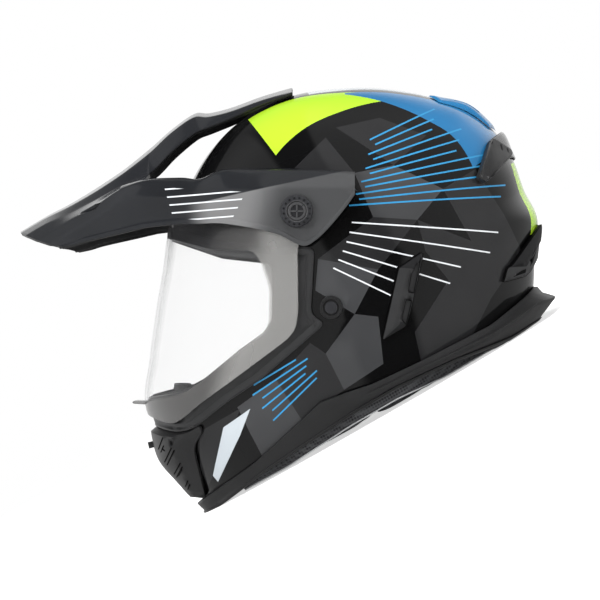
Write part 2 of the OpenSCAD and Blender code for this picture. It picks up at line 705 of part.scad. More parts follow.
module crown_lining() {
    color("#2b2d31") stand() mesh() intersection() {
        layer(pad_out - liner_t, pad_out, lining_turns, lining_lats);
        across() polygon(concat(
            fit_all([[-70, 6], [-20, -24], [20, -38], [90, -50], [170, -56], [240, -58]]),
            [[240, 300], [-260, 300], fit([-260, 6])]));
    }
}
// The cheek pad covers the foam, and its hem wraps under the foam's lower edge
pad_outline = fit_all([[-51.4, -118], [-26, -100], [-12, -88], [-8, -60.6], [60, -60.6], [60, -156],
    [41, -168], [2, -187], [-20, -202], [-51.4, -209]]);
cheek_hem = fit_all([[-20, -190], [2, -174], [41, -148], [60, -136], [60, -156], [41, -168], [2, -187],
    [-20, -202]]);
module cheek_pad_left() {
    color("#2b2d31") stand() mesh() difference() {
        intersection() {
            union() {
                intersection() {
                    layer(pad_out - cheek_t, pad_out, lining_turns, lining_lats);
                    on_left() polygon(pad_outline);
                }
                intersection() {
                    layer(pad_out - 2, foam_out - 3, lining_turns, lining_lats);
                    on_left() polygon(cheek_hem);
                }
            }
            over_floor(1);
        }
        strap_channel();
    }
}
module cheek_pad_right() { right() cheek_pad_left(); }
module neck_roll() {
    color("#232528") stand() mesh() intersection() {
        layer(-30, foam_out - 3, lining_turns, lining_lats);
        across() polygon(concat([for (p = raised(rim_line, 9)) if (p[0] > 70) p],
            fit_all([[240, -100], [61, -160], [61, -135]])));
        over_floor(1);
    }
}

// A strip along points of the y-z plane, with its thickness across them
function strip(points, t) = let (n = len(points), side = [for (i = [0:n - 1]) let (
        d = points[min(i + 1, n - 1)] - points[max(i - 1, 0)]) [-d[1], d[0]] / norm(d) * t / 2])
    concat([for (i = [0:n - 1]) points[i] + side[i]], [for (i = [n - 1:-1:0]) points[i] - side[i]]);
module webbing(points, t, w) {
    translate([stand_x + strap_x - w / 2, 0, 0]) rotate([90, 0, 90]) linear_extrude(w)
        polygon(strip(points, t));
}
rivet_r = 2.4;
strap_low = strap_z - 7.5;
strap_line_left = [
    [-strap_root_y, strap_z + 7], [-strap_root_y, strap_z - 5], [2.5 - strap_root_y, strap_z - 7.3],
    [wide(-90), strap_low], [wide(-60), strap_low], [wide(-50), strap_z - 9.5], [wide(-40), strap_z - 14.5],
    [wide(-28), strap_z - 18.8], [wide(-14), strap_z - 21.5], [0, strap_z - 22], [wide(12), strap_z - 20]
];
// The right strap ends in a loop round the bars of both rings
bar_y = wide(38);
bar_step = ring_wire + 0.5;
loop_in = ring_wire / 2 + 0.25;
strap_line_right = [
    [bar_y + loop_in + 1, strap_low], [wide(60), strap_low], [wide(90), strap_low],
    [strap_root_y - 2.5, strap_z - 7.3], [strap_root_y, strap_z - 5], [strap_root_y, strap_z + 7]
];
module rivet_bores() {
    both_sides() translate([stand_x + strap_x, 0, strap_z]) rotate([90, 0, 0])
        cylinder(h = 150, r = rivet_r + fit_gap, $fn = 48);
}
module strap_left() {
    color("#1c1d20") difference() {
        webbing(strap_line_left, strap_t, strap_w);
        rivet_bores();
    }
}
module strap_right() {
    color("#1c1d20") difference() {
        union() {
            webbing(strap_line_right, strap_t, strap_w);
            translate([stand_x + strap_x - strap_w / 2, 0, strap_low]) rotate([90, 0, 90])
                linear_extrude(strap_w) difference() {
                    bar_loop(loop_in + strap_t);
                    bar_loop(loop_in);
                }
        }
        rivet_bores();
    }
}
module bar_loop(r) {
    hull() for (i = [0, 1]) translate([bar_y - i * bar_step, 0]) circle(r, $fn = 32);
}
pad_line = [
    [wide(-40), strap_z - 14.5], [wide(-28), strap_z - 18.8], [wide(-14), strap_z - 21.5],
    [wide(-8), strap_z - 21.8]
];
module strap_pad() {
    color("#2b2d31") difference() {
        webbing(pad_line, strap_t + 7, strap_w + 8);
        webbing(strap_line_left, strap_t + 0.8, strap_w + 0.8);
    }
}
// One rivet at the root of each strap, through the shell
module strap_rivets() {
    inside = strap_root_y - strap_t / 2 - 0.2;
    outside = side_y(strap_at[0], strap_at[1]) - 0.9;
    color("#8b8f94") both_sides() translate([stand_x + strap_x, 0, strap_z]) rotate([90, 0, 0])
        rotate_extrude($fn = 48) polygon([[0, inside - 1.6], [3.4, inside - 1.2], [4.2, inside],
            [rivet_r, inside], [rivet_r, outside], [0, outside]]);
}
// Plan of a D-ring: a straight bar, two short sides and a round far end, hanging from its bar
module d_ring(bar) {
    r = ring_wire / 2;
    w = strap_w / 2 + r + 1 + (1 - bar) * (ring_wire + 0.5);
    translate([stand_x + strap_x, bar_y - bar * bar_step, strap_low]) {
        translate([-w, 0, 0]) rotate([0, 90, 0]) cylinder(h = 2 * w, r = r, $fn = 32);
        for (s = [-1, 1]) translate([s * w, 0, 0]) {
            sphere(r, $fn = 32);
            translate([0, 0, w - ring_reach]) cylinder(h = ring_reach - w, r = r, $fn = 32);
        }
        translate([0, 0, w - ring_reach]) rotate([90, 180, 0])
            rotate_extrude(angle = 180, $fn = 64) translate([w, 0]) circle(r, $fn = 32);
    }
}
module d_ring_outer() { color("#a6a9ad") d_ring(0); }
module d_ring_inner() { color("#a6a9ad") d_ring(1); }
module strap_snap() {
    tip = strap_line_left[len(strap_line_left) - 1];
    turn = strap_line_left[len(strap_line_left) - 2];
    slope = atan2(tip[1] - turn[1], tip[0] - turn[0]);
    color("#8b8f94") translate([stand_x + strap_x, (tip[0] + turn[0]) / 2, (tip[1] + turn[1]) / 2])
        rotate([slope, 0, 0]) translate([0, 0, strap_t / 2 + 0.3])
            rotate_extrude($fn = 48) polygon([[0, 0], [5, 0], [5, 1.2], [2.6, 2.4], [0, 2.4]]);
}

outer_shell();
eyeport_frame();
eyeport_gasket();
chin_vent();
chin_vent_shutter();
rim_skirt();
side_vent_left();
side_vent_right();
rear_spoiler();
rear_lower_vent();
crown_vent_left();
crown_vent_right();
side_plug_left();
side_plug_right();
pivot_plate_left();
pivot_plate_right();
face_shield();
peak();
peak_screw_left();
peak_screw_right();
peak_nut_left();
peak_nut_right();
breath_deflector();
eps_liner();
eps_chin();
eps_cheek_left();
eps_cheek_right();
crown_lining();
cheek_pad_left();
cheek_pad_right();
neck_roll();
strap_left();
strap_right();
strap_pad();
strap_rivets();
d_ring_outer();
d_ring_inner();
strap_snap();
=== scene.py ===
import math
import bmesh
import bpy
import numpy as np
from mathutils import Matrix, Vector
from mathutils.geometry import delaunay_2d_cdt


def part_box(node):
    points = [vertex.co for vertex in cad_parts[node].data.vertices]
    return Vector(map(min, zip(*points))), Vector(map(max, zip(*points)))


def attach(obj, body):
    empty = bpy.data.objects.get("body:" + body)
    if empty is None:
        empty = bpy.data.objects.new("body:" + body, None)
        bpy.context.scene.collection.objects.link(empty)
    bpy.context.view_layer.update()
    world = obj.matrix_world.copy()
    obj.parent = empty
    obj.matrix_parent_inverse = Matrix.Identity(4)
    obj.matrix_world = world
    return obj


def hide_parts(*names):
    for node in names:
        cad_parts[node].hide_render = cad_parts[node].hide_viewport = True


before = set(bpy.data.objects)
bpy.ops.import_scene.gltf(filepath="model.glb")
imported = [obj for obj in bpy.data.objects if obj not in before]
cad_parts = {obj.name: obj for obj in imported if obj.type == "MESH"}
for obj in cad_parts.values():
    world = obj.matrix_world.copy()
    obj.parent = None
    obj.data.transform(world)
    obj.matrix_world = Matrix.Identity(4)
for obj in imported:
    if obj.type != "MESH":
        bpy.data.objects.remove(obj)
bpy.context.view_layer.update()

# Sizes in mm, in the worn frame: -x ahead, z up, origin on the shield's pivot axis
MID_X = 42.0
MID_Z = -36.0
HALF_W = 122.0
SHELL_T = 3.2
SEAT_GAP = 0.4
FRAME_T = 2.6
SHIELD_T = 2.5
SHIELD_SEAT = SEAT_GAP + FRAME_T + 1.1
EAR_R = 14.0
BORE_R = 8.08
SKIRT_T = 3.2
COLLAR_FLARE = 14.0
SIDE_VENT_T = 4.0
SPOILER_T = 4.5
CHIN_VENT_T = 8.5
PEAK_T = 2.6
PEAK_REACH = 221.0
PLUG_AT = (26.0, -73.0)
PLUG_R = 9.0
FOAM_OUT = -SHELL_T - 0.9
FOAM_IN = FOAM_OUT - 28.0
PAD_OUT = FOAM_IN - 0.6

# Reach of the middle line from the middle: angle in degrees, 0 behind and 90 up
PROFILE = np.array([
    (0, 148), (13, 154), (22, 150.5), (36, 155), (50, 154), (62, 146.5), (76, 141), (94, 138),
    (110, 140), (130, 142), (155, 141.5), (180, 141.5), (194, 152.5), (206, 171), (214, 191),
    (220, 200), (226, 212), (232, 216), (238, 221), (246, 226), (258, 225), (280, 206),
    (300, 187), (320, 168), (340, 153)], dtype=float)
AT = np.concatenate([PROFILE[-1:, 0] - 360, PROFILE[:, 0], PROFILE[:2, 0] + 360])
REACH = np.concatenate([PROFILE[-1:, 1], PROFILE[:, 1], PROFILE[:2, 1]])
SLOPE = (REACH[2:] - REACH[:-2]) / (AT[2:] - AT[:-2])


def reach(angle):
    """Distance of the skin's middle line from the middle."""
    t = np.mod(angle, 360)
    i = np.clip(np.searchsorted(PROFILE[:, 0], t, side="right") - 1, 0, len(PROFILE) - 1)
    w = AT[i + 2] - AT[i + 1]
    s = (t - AT[i + 1]) / w
    hold = REACH[i + 1] * (1 + 2 * s) * (1 - s) ** 2 + REACH[i + 2] * s * s * (3 - 2 * s)
    return hold + w * SLOPE[i] * s * (1 - s) ** 2 - w * SLOPE[i + 1] * s * s * (1 - s)


def fullness(angle):
    """Power of the cross-section's superellipse: 2 is round."""
    d = np.mod(angle + 318, 360) - 180
    return 2.3 - 0.3 * np.exp(-(d / 35) ** 2)


def polar(x, z):
    """Angle in degrees and distance of side-view points from the middle."""
    return np.degrees(np.arctan2(z - MID_Z, x - MID_X)), np.hypot(x - MID_X, z - MID_Z)


def side_y(x, z, off=0.0):
    """Half width of the skin, grown by off, over points of the side view."""
    angle, r = polar(np.asarray(x, dtype=float), np.asarray(z, dtype=float))
    n = fullness(angle)
    q = np.minimum(r / (reach(angle) + off), 1)
    return (HALF_W + off) * np.clip(1 - q ** n, 0, 1) ** (1 / n)


def skin_level(x, y, z, off):
    """Below 1 inside the skin grown by off, and above 1 outside it."""
    angle, r = polar(x, z)
    n = fullness(angle)
    return (r / (reach(angle) + off)) ** n + (np.abs(y) / (HALF_W + off)) ** n


def to_disc(x, z):
    """The side view spread onto a disc, with the middle line as its rim, and the share of the reach."""
    angle, r = polar(x, z)
    q = r / reach(angle)
    rho = 1 - np.degrees(np.arccos(np.clip(q, 0, 1) ** (fullness(angle) / 2))) / 90
    return rho * np.cos(np.radians(angle)), rho * np.sin(np.radians(angle)), q


def from_disc(u, v, off):
    """Points of the right side of the skin, grown by off, for points of the disc."""
    angle = np.degrees(np.arctan2(v, u))
    a, lat = np.radians(angle), np.radians(90 * (1 - np.minimum(np.hypot(u, v), 1)))
    e = 2 / fullness(angle)
    r = (reach(angle) + off) * np.cos(lat) ** e
    y = (HALF_W + off) * np.abs(np.sin(lat)) ** e
    return np.stack([MID_X + r * np.cos(a), y, MID_Z + r * np.sin(a)], axis=-1)


# The part stands level on its rim: the worn frame is tilted forward and lifted onto the table
TILT = math.radians(30)
STAND_X = 10.3977
DROP = 168.3


def turn(vectors):
    """Directions of the worn frame in the part's own frame."""
    p = np.asarray(vectors, dtype=float)
    x = p[..., 0] * math.cos(TILT) + p[..., 2] * math.sin(TILT)
    z = p[..., 2] * math.cos(TILT) - p[..., 0] * math.sin(TILT)
    return np.stack([x, p[..., 1], z], axis=-1)


def stand(points):
    """Worn frame in mm to the part's own frame in metres."""
    return (turn(points) + (STAND_X, 0, DROP)) * 0.001


def unstand(points):
    """The part's own frame in metres back to the worn frame in mm."""
    p = np.asarray(points, dtype=float) * 1000 - (STAND_X, 0, DROP)
    c, s = math.cos(TILT), math.sin(TILT)
    return np.stack([p[..., 0] * c - p[..., 2] * s, p[..., 1], p[..., 0] * s + p[..., 2] * c], axis=-1)


def unit(v, least=1e-12):
    return v / np.maximum(np.linalg.norm(v, axis=-1, keepdims=True), least)


def across(v):
    """Directions of a plane turned by a quarter."""
    return np.stack([-v[..., 1], v[..., 0]], axis=-1)


def smooth(t):
    t = np.clip(t, 0, 1)
    return t * t * (3 - 2 * t)


def halve(low, high, holds, times):
    """Where a test that holds at low stops holding on the way to high."""
    for _ in range(times):
        middle = (low + high) / 2
        ok = holds(middle)
        low, high = np.where(ok, middle, low), np.where(ok, high, middle)
    return (low + high) / 2


# Outlines and lines of the side view
def inside(x, z, polygon):
    """Which points lie in a polygon."""
    x1, z1 = np.asarray(polygon, dtype=float).T
    x2, z2 = np.roll(x1, -1), np.roll(z1, -1)
    px, pz = x[:, None], z[:, None]
    with np.errstate(divide="ignore", invalid="ignore"):
        at = (x2 - x1) * (pz - z1) / (z2 - z1) + x1
    return (((z1 > pz) != (z2 > pz)) & (px < at)).sum(axis=1) % 2 == 1


def distance(x, z, line, closed=True):
    """Distance of points from a line."""
    a = np.asarray(line, dtype=float)
    b = np.roll(a, -1, axis=0) if closed else a[1:]
    best = np.full(np.shape(x), 1e9)
    for start, end in zip(a, b):
        step = end - start
        share = ((x - start[0]) * step[0] + (z - start[1]) * step[1]) / max(step @ step, 1e-9)
        t = np.clip(share, 0, 1)
        best = np.minimum(best, np.hypot(x - start[0] - t * step[0], z - start[1] - t * step[1]))
    return best


def from_line(x, z, a, b):
    """Distance from the straight line through two points."""
    along = (b[0] - a[0], b[1] - a[1])
    return np.abs((x - a[0]) * along[1] - (z - a[1]) * along[0]) / math.hypot(*along)


def field(x, z, polygon, run):
    """From 0 at a polygon's edge to 1 inside it, over a run in mm."""
    return np.where(inside(x, z, polygon), smooth(distance(x, z, polygon) / run), 0.0)


def rolled(d, r, drop):
    """How far an edge that is rounded over r drops, at a distance from it."""
    t = np.clip(1 - d / r, 0, 1)
    return drop * (1 - np.sqrt(1 - t * t))


def within(polygon, *holes):
    """A test for points in a polygon and outside its holes."""
    def keep(x, z):
        held = inside(x, z, polygon)
        for hole in holes:
            held &= ~inside(x, z, hole)
        return held
    return keep


def painter(fields, base=0):
    """Material numbers over the side view: each polygon lies over the last."""
    def paint(x, z):
        index = np.full(len(x), base)
        for polygon, number in fields:
            index[inside(x, z, polygon)] = number
        return index
    return paint


def level(value):
    return lambda x, z: np.full(np.shape(x), float(value))


def sample(line, step=2.0, closed=True):
    """A line with points no further apart than step."""
    pts = [np.asarray(p, dtype=float) for p in line]
    out = []
    for a, b in zip(pts, pts[1:] + pts[:1] if closed else pts[1:]):
        n = max(1, math.ceil(np.linalg.norm(b - a) / step))
        out += [a + (b - a) * i / n for i in range(n)]
    return out if closed else out + [pts[-1]]


def inset(polygon, d):
    """A polygon moved inwards by d, or outwards where d is below 0."""
    p = np.asarray(polygon, dtype=float)
    after = np.roll(p, -1, axis=0)
    side = 1 if np.sum(p[:, 0] * after[:, 1] - after[:, 0] * p[:, 1]) > 0 else -1
    n2 = side * across(unit(after - p))
    n1 = np.roll(n2, 1, axis=0)
    m = unit(n1 + n2, 1e-6)
    return [tuple(q) for q in p + m * d / np.maximum((m * n1).sum(axis=1), 0.35)[:, None]]


def insets(edge, *depths):
    return [edge] + [inset(edge, d) for d in depths]


def corner(q, before, after, r, share, turns):
    """The points of a rounded corner, which takes up no more than a share of its sides."""
    a, b = before - q, after - q
    la, lb = np.linalg.norm(a), np.linalg.norm(b)
    k = min(r, share * la, share * lb)
    s, e = q + a / la * k, q + b / lb * k
    return [(1 - t) ** 2 * s + 2 * t * (1 - t) * q + t * t * e for t in np.arange(turns + 1) / turns]


def rounded(polygon, r):
    """A polygon with its corners rounded."""
    p = np.asarray(polygon, dtype=float)
    return [tuple(c) for i, q in enumerate(p)
            for c in corner(q, p[i - 1], p[(i + 1) % len(p)], r, 0.45, 4)]


def curve(points, per=6):
    """A smooth curve through points."""
    p = np.asarray(points, dtype=float)
    p = np.concatenate([p[:1], p, p[-1:]])
    out = [(2 * a + (b - before) * t + (2 * before - 5 * a + 4 * b - after) * t * t
            + (3 * a - before - 3 * b + after) * t ** 3) / 2
           for before, a, b, after in zip(p, p[1:], p[2:], p[3:]) for t in np.arange(per) / per]
    return np.array(out + [p[-1]])


def circle(r, n, x=0.0, z=0.0):
    angles = [2 * math.pi * k / n for k in range(n)]
    return [(x + r * math.cos(a), z + r * math.sin(a)) for a in angles]


def spin(points, angle):
    """Points of a plane turned about its origin, by an angle in radians."""
    c, s = math.cos(angle), math.sin(angle)
    return [(x * c - y * s, x * s + y * c) for x, y in points]


def raised(line, dz):
    return [(p[0], p[1] + dz) for p in line]


# Objects
def linked(name, data):
    """A new object with a mesh, a lamp or a camera."""
    obj = bpy.data.objects.new(name, data)
    bpy.context.scene.collection.objects.link(obj)
    return obj


def new_object(name, verts, faces, materials, index=None, normals=None, flat=False):
    """A mesh object in the part's frame from points in metres."""
    mesh = bpy.data.meshes.new(name)
    mesh.from_pydata([tuple(v) for v in verts], [], [tuple(int(i) for i in f) for f in faces])
    for material in materials:
        mesh.materials.append(material)
    if index is not None:
        mesh.polygons.foreach_set("material_index", np.asarray(index, dtype=np.int32))
    if not flat:
        mesh.polygons.foreach_set("use_smooth", [True] * len(mesh.polygons))
    if normals is not None:
        mesh.normals_split_custom_set([tuple(n) for n in normals])
    mesh.update()
    return linked(name, mesh)


def placed(obj, body, slot, *nodes, angle=None):
    """Gives a piece its body, hides the CAD nodes it replaces, and shades it by an angle. Its slot is
    not used.
    """
    if angle:
        obj.data.polygons.foreach_set("use_smooth", [True] * len(obj.data.polygons))
        obj.data.set_sharp_from_angle(angle=math.radians(angle))
    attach(obj, body)
    if nodes:
        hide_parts(*nodes)
    return obj


def fix_normals(obj):
    """Joins points that coincide and turns all faces outwards."""
    bm = bmesh.new()
    bm.from_mesh(obj.data)
    bmesh.ops.remove_doubles(bm, verts=bm.verts, dist=1e-6)
    bmesh.ops.recalc_face_normals(bm, faces=bm.faces)
    bm.to_mesh(obj.data)
    bm.free()
    return obj


def evaluated(obj):
    """A new mesh of the object as its modifiers make it."""
    deps = bpy.context.evaluated_depsgraph_get()
    return bpy.data.meshes.new_from_object(obj.evaluated_get(deps), depsgraph=deps)


def applied(obj):
    """The object with its modifiers made part of its mesh."""
    mesh, old = evaluated(obj), obj.data
    obj.modifiers.clear()
    obj.data = mesh
    bpy.data.meshes.remove(old)
    return obj


def modifier(obj, kind, **settings):
    mod = obj.modifiers.new(kind.lower(), kind)
    for key, value in settings.items():
        setattr(mod, key, value)
    return mod


def soften(obj, width, angle=40, segments=2):
    """Rounds the sharp edges of an object."""
    modifier(obj, "BEVEL", width=width, segments=segments, limit_method="ANGLE",
             angle_limit=math.radians(angle), harden_normals=False)
    applied(obj)
    obj.data.polygons.foreach_set("use_smooth", [True] * len(obj.data.polygons))
    obj.data.set_sharp_from_angle(angle=math.radians(45))
    return obj


def in_side_view(points):
    """Takes points of an outline, with their depth third, to the part's frame."""
    return stand(np.asarray(points, dtype=float)[:, [0, 2, 1]])


def walls(name, outlines, low, high, place=in_side_view):
    """An object of upright walls over outlines between two heights, such as a cutter."""
    verts, faces = [], []
    for line in outlines:
        n, base = len(line), len(verts)
        verts += [(a, b, h) for h in (low, high) for a, b in line]
        faces += [range(base, base + n), range(base + n, base + 2 * n)]
        for k, after in enumerate([*range(1, n), 0]):
            faces.append((base + k, base + after, base + n + after, base + n + k))
    return fix_normals(new_object(name, place(verts), faces, [], flat=True))


def cut(obj, cutters):
    """Takes the cutters out of an object and removes them."""
    for cutter in cutters:
        modifier(obj, "BOOLEAN", operation="DIFFERENCE", solver="EXACT", object=cutter)
    applied(obj)
    for cutter in cutters:
        bpy.data.objects.remove(cutter, do_unlink=True)
    return obj


def net(rows, cols, round_rows=False, round_cols=False, start=0):
    """Quads over a grid of points that are numbered row by row from start."""
    return [(start + i * cols + j, start + i * cols + (j + 1) % cols,
             start + (i + 1) % rows * cols + (j + 1) % cols, start + (i + 1) % rows * cols + j)
            for i in range(rows if round_rows else rows - 1)
            for j in range(cols if round_cols else cols - 1)]


def end_faces(rows, cols):
    """The two flat ends of a row of closed sections."""
    return [range(cols), range((rows - 1) * cols, rows * cols)]


def walled(top, low):
    """Points and faces of a body between two grids: the upper faces come first."""
    rows, cols = top.shape[:2]
    n = rows * cols
    ring = [(0, j) for j in range(cols - 1)] + [(i, cols - 1) for i in range(rows - 1)] \
        + [(rows - 1, j) for j in range(cols - 1, 0, -1)] + [(i, 0) for i in range(rows - 1, 0, -1)]
    ring = [i * cols + j for i, j in ring]
    faces = net(rows, cols) + net(rows, cols, start=n)
    faces += [(a, b, b + n, a + n) for a, b in zip(ring, ring[1:] + ring[:1])]
    return np.concatenate([top.reshape(-1, 3), low.reshape(-1, 3)]), faces


# Plates that follow the skin
def on_rim(angle):
    return math.cos(math.radians(angle)), math.sin(math.radians(angle))


def plate_triangles(lines, keep, spacing):
    """Triangles of one side of a plate, on the disc. The lines are edges of the triangles."""
    co, edges, rim = [], [], []
    for line, closed in lines:
        arr = np.array(sample(line, 2.2, closed))
        u, v, q = to_disc(arr[:, 0], arr[:, 1])
        n = len(arr)
        number = [None] * n
        for i in np.nonzero(q < 1)[0]:
            number[i] = len(co)
            co.append((u[i], v[i]))
        for i in range(n if closed else n - 1):
            j = (i + 1) % n
            ends = [k for k in (number[i], number[j]) if k is not None]
            if len(ends) == 1:
                a, b = (arr[i], arr[j]) if number[i] is not None else (arr[j], arr[i])
                share = halve(0.0, 1.0, lambda m: to_disc(*(a * (1 - m) + b * m))[2] < 1, 30)
                angle = float(polar(*(a * (1 - share) + b * share))[0]) % 360
                rim.append((angle, len(co)))
                ends.append(len(co))
                co.append(on_rim(angle))
            if ends:
                edges.append(tuple(ends))
    crossings = [angle for angle, _ in rim]
    for r in np.arange(0, 360, 1.5):
        if all(abs((r - c + 180) % 360 - 180) > 0.4 for c in crossings):
            rim.append((r, len(co)))
            co.append(on_rim(r))
    rim.sort()
    edges += [(a, b) for (_, a), (_, b) in zip(rim, rim[1:] + rim[:1])]
    steps = np.arange(-1, 1, spacing)
    gu, gv = np.meshgrid(steps, steps)
    gu = gu + (np.arange(len(steps)) % 2)[:, None] * spacing / 2
    grid = np.stack([gu.ravel(), gv.ravel()], axis=-1)
    grid = grid[np.hypot(grid[:, 0], grid[:, 1]) < 1 - 0.45 * spacing]
    p = from_disc(grid[:, 0], grid[:, 1], 0.0)
    grid = grid[keep(p[:, 0], p[:, 2])]
    for c in co:
        grid = grid[((grid - c) ** 2).sum(axis=1) >= (0.4 * spacing) ** 2]
    found = delaunay_2d_cdt([Vector(c) for c in co + list(grid)], edges, [], 0, 1e-7, False)
    disc = np.array([tuple(v) for v in found[0]])
    tri = np.array([f for f in found[2] if len(f) == 3])
    mid = disc[tri].mean(axis=1)
    p = from_disc(mid[:, 0], mid[:, 1], 0.0)
    tri = tri[keep(p[:, 0], p[:, 2])]
    e1, e2 = disc[tri[:, 1]] - disc[tri[:, 0]], disc[tri[:, 2]] - disc[tri[:, 0]]
    area = e1[:, 0] * e2[:, 1] - e1[:, 1] * e2[:, 0]
    tri[area < 0] = tri[area < 0][:, ::-1]
    tri = tri[np.abs(area) > 1e-12]
    used = np.unique(tri)
    return disc[used], np.searchsorted(used, tri)


def settle(disc, height):
    """Points of the surface whose offset is a function of the side view."""
    off = np.zeros(len(disc))
    for _ in range(3):
        p = from_disc(disc[:, 0], disc[:, 1], off)
        off = height(p[:, 0], p[:, 2])
    p = from_disc(disc[:, 0], disc[:, 1], off)
    p[np.hypot(disc[:, 0], disc[:, 1]) > 1 - 1e-6, 1] = 0
    return p


def surface_normals(p, height, h=0.15):
    """Outward directions of such a surface, at points of its right side."""
    def fill_at(q):
        x, y, z = q.T
        return skin_level(x, y, z, height(x, z))
    g = np.stack([fill_at(p + step) - fill_at(p - step) for step in h * np.eye(3)], axis=-1)
    g[np.abs(p[:, 1]) < 1e-6, 1] = 0
    return unit(g)


def warped_normals(disc, height, warp, outside, h=1e-3):
    """Outward directions of a plate whose points have been moved off the skin."""
    out = []
    for step in ((h, 0), (-h, 0), (0, h), (0, -h)):
        moved = disc + np.array(step)
        size = np.hypot(moved[:, 0], moved[:, 1])
        over_rim = size > 1
        u, v = (moved * np.where(over_rim, (2 - size) / np.maximum(size, 1e-9), 1.0)[:, None]).T
        p = from_disc(u, v, 0.0)
        p = warp(from_disc(u, v, height(p[:, 0], p[:, 2])), outside)
        p[over_rim, 1] *= -1
        out.append(p)
    return unit(np.cross(out[2] - out[3], out[0] - out[1]))


def plate(name, body, slot, node, materials, lines, keep, outer, inner, spacing, side="both",
          paint=level(0), wall=0, warp=None, see_through=False, open_lines=()):
    """A plate that follows the skin: outer and inner give its offsets over the side view.
    The triangles keep to the lines; paint gives a material number, and wall is the one of the edges
    and the inner face. warp moves the points of either face, where the plate leaves the skin.
    A see-through plate has the same colours on both faces."""
    both_kinds = [(line, True) for line in lines] + [(line, False) for line in open_lines]
    disc, tri = plate_triangles(both_kinds, keep, spacing)
    points, normals_of_face = [], []
    for height, outside in ((outer, True), (inner, False)):
        p = settle(disc, height)
        n = surface_normals(p, height) if warp is None else warped_normals(disc, height, warp, outside)
        points.append(p if warp is None else warp(p, outside))
        normals_of_face.append(n if outside else -n)
    middle = disc[tri].mean(axis=1)
    mid = from_disc(middle[:, 0], middle[:, 1], 0.0)
    index = paint(mid[:, 0], mid[:, 2]).astype(int)
    tri = tri.tolist()
    pairs = dict.fromkeys((f[k], f[(k + 1) % 3]) for f in tri for k in range(3))
    on_middle = np.hypot(disc[:, 0], disc[:, 1]) > 1 - 1e-6
    edge = [(a, b) for a, b in pairs
            if (b, a) not in pairs and not (side == "both" and on_middle[a] and on_middle[b])]
    verts, faces, mats, normals = [], [], [], []
    n = len(disc)
    for sign in {"both": (1, -1), "right": (1,), "left": (-1,)}[side]:
        base = len(verts)
        for p in points:
            verts.extend(stand(p * (1, sign, 1)))
        tn, ln = [turn(v * (1, sign, 1)) for v in normals_of_face]
        for f, m in zip(tri, index):
            g = (f[0], f[2], f[1]) if sign > 0 else f
            faces.append([base + k for k in g])
            faces.append([base + n + k for k in g[::-1]])
            mats += [m, m if see_through else wall]
            normals.extend([tn[k] for k in g] + [ln[k] for k in g[::-1]])
        for a, b in edge:
            quad = (a, b, b + n, a + n) if sign > 0 else (b, a, a + n, b + n)
            faces.append([base + k for k in quad])
            p = [verts[k] for k in faces[-1]]
            mats.append(wall)
            normals.extend([unit(np.cross(p[2] - p[0], p[3] - p[1]))] * 4)
    return placed(new_object(name, verts, faces, materials, mats, normals), body, slot, node)


# Materials
def put(tree, node, inputs):
    """Sets inputs of a node to values, or links them to outputs of other nodes."""
    for key, value in inputs.items():
        if isinstance(value, bpy.types.NodeSocket):
            tree.links.new(value, node.inputs[key])
        else:
            node.inputs[key].default_value = value


def add(tree, kind, inputs, **settings):
    """A new shader node."""
    node = tree.nodes.new("ShaderNode" + kind)
    for key, value in settings.items():
        setattr(node, key, value)
    put(tree, node, inputs)
    return node


def maths(tree, operation, *values):
    return add(tree, "Math", dict(enumerate(values)), operation=operation).outputs[0]


def product(tree, first, *others):
    for other in others:
        first = maths(tree, "MULTIPLY", first, other)
    return first


SOFT = "SMOOTHSTEP"


def span(tree, value, low, high, kind=SOFT):
    """From 0 to 1 while a value goes from low to high."""
    limits = {"Value": value, "From Min": low, "From Max": high}
    return add(tree, "MapRange", limits, interpolation_type=kind).outputs[0]


def mix(tree, factor, a, b, **settings):
    inputs = {"Factor": factor, "A": a, "B": b}
    return add(tree, "Mix", inputs, data_type="RGBA", **settings).outputs["Result"]


def own_place(tree):
    return add(tree, "TexCoord", {}).outputs["Object"]


def noise(tree, scale, detail):
    inputs = {"Vector": own_place(tree), "Scale": scale, "Detail": detail}
    return add(tree, "TexNoise", inputs).outputs["Fac"]


def cells(tree, scale, uneven):
    inputs = {"Vector": own_place(tree), "Scale": scale, "Randomness": uneven}
    return add(tree, "TexVoronoi", inputs, feature="F1").outputs["Distance"]


def ramp(tree, factor, *stops):
    """Colours, or greys from single numbers, between stops."""
    node = add(tree, "ValToRGB", {"Fac": factor})
    elements = node.color_ramp.elements
    while len(elements) < len(stops):
        elements.new(0.5)
    for element, (at, value) in zip(elements, stops):
        element.position = at
        element.color = (*value, 1) if isinstance(value, tuple) else (value, value, value, 1)
    return node.outputs["Color"]


def blend(tree, factor, low, high):
    return ramp(tree, factor, (0.3, low), (0.7, high))


def bump(tree, shader, height, distance_m, strength, **settings):
    inputs = {"Height": height, "Distance": distance_m, "Strength": strength}
    put(tree, shader, {"Normal": add(tree, "Bump", inputs, **settings).outputs["Normal"]})


def material(name, inputs):
    """A new material, its tree of nodes and its shader."""
    m = bpy.data.materials.new(name)
    m.use_nodes = True
    shader = m.node_tree.nodes["Principled BSDF"]
    put(m.node_tree, shader, inputs)
    return m, m.node_tree, shader


def moulded(name, low, high, rough=(0.42, 0.56), grain=3200, depth=0.00006, spec=0.45):
    """Matte moulded plastic: a fine grain, with slow changes in tone and gloss."""
    m, t, s = material(name, {"Specular IOR Level": spec})
    slow = noise(t, 22, 3)
    put(t, s, {"Base Color": blend(t, slow, low, high), "Roughness": blend(t, slow, *rough)})
    bump(t, s, noise(t, grain, 1.5), depth, 0.5)
    return m


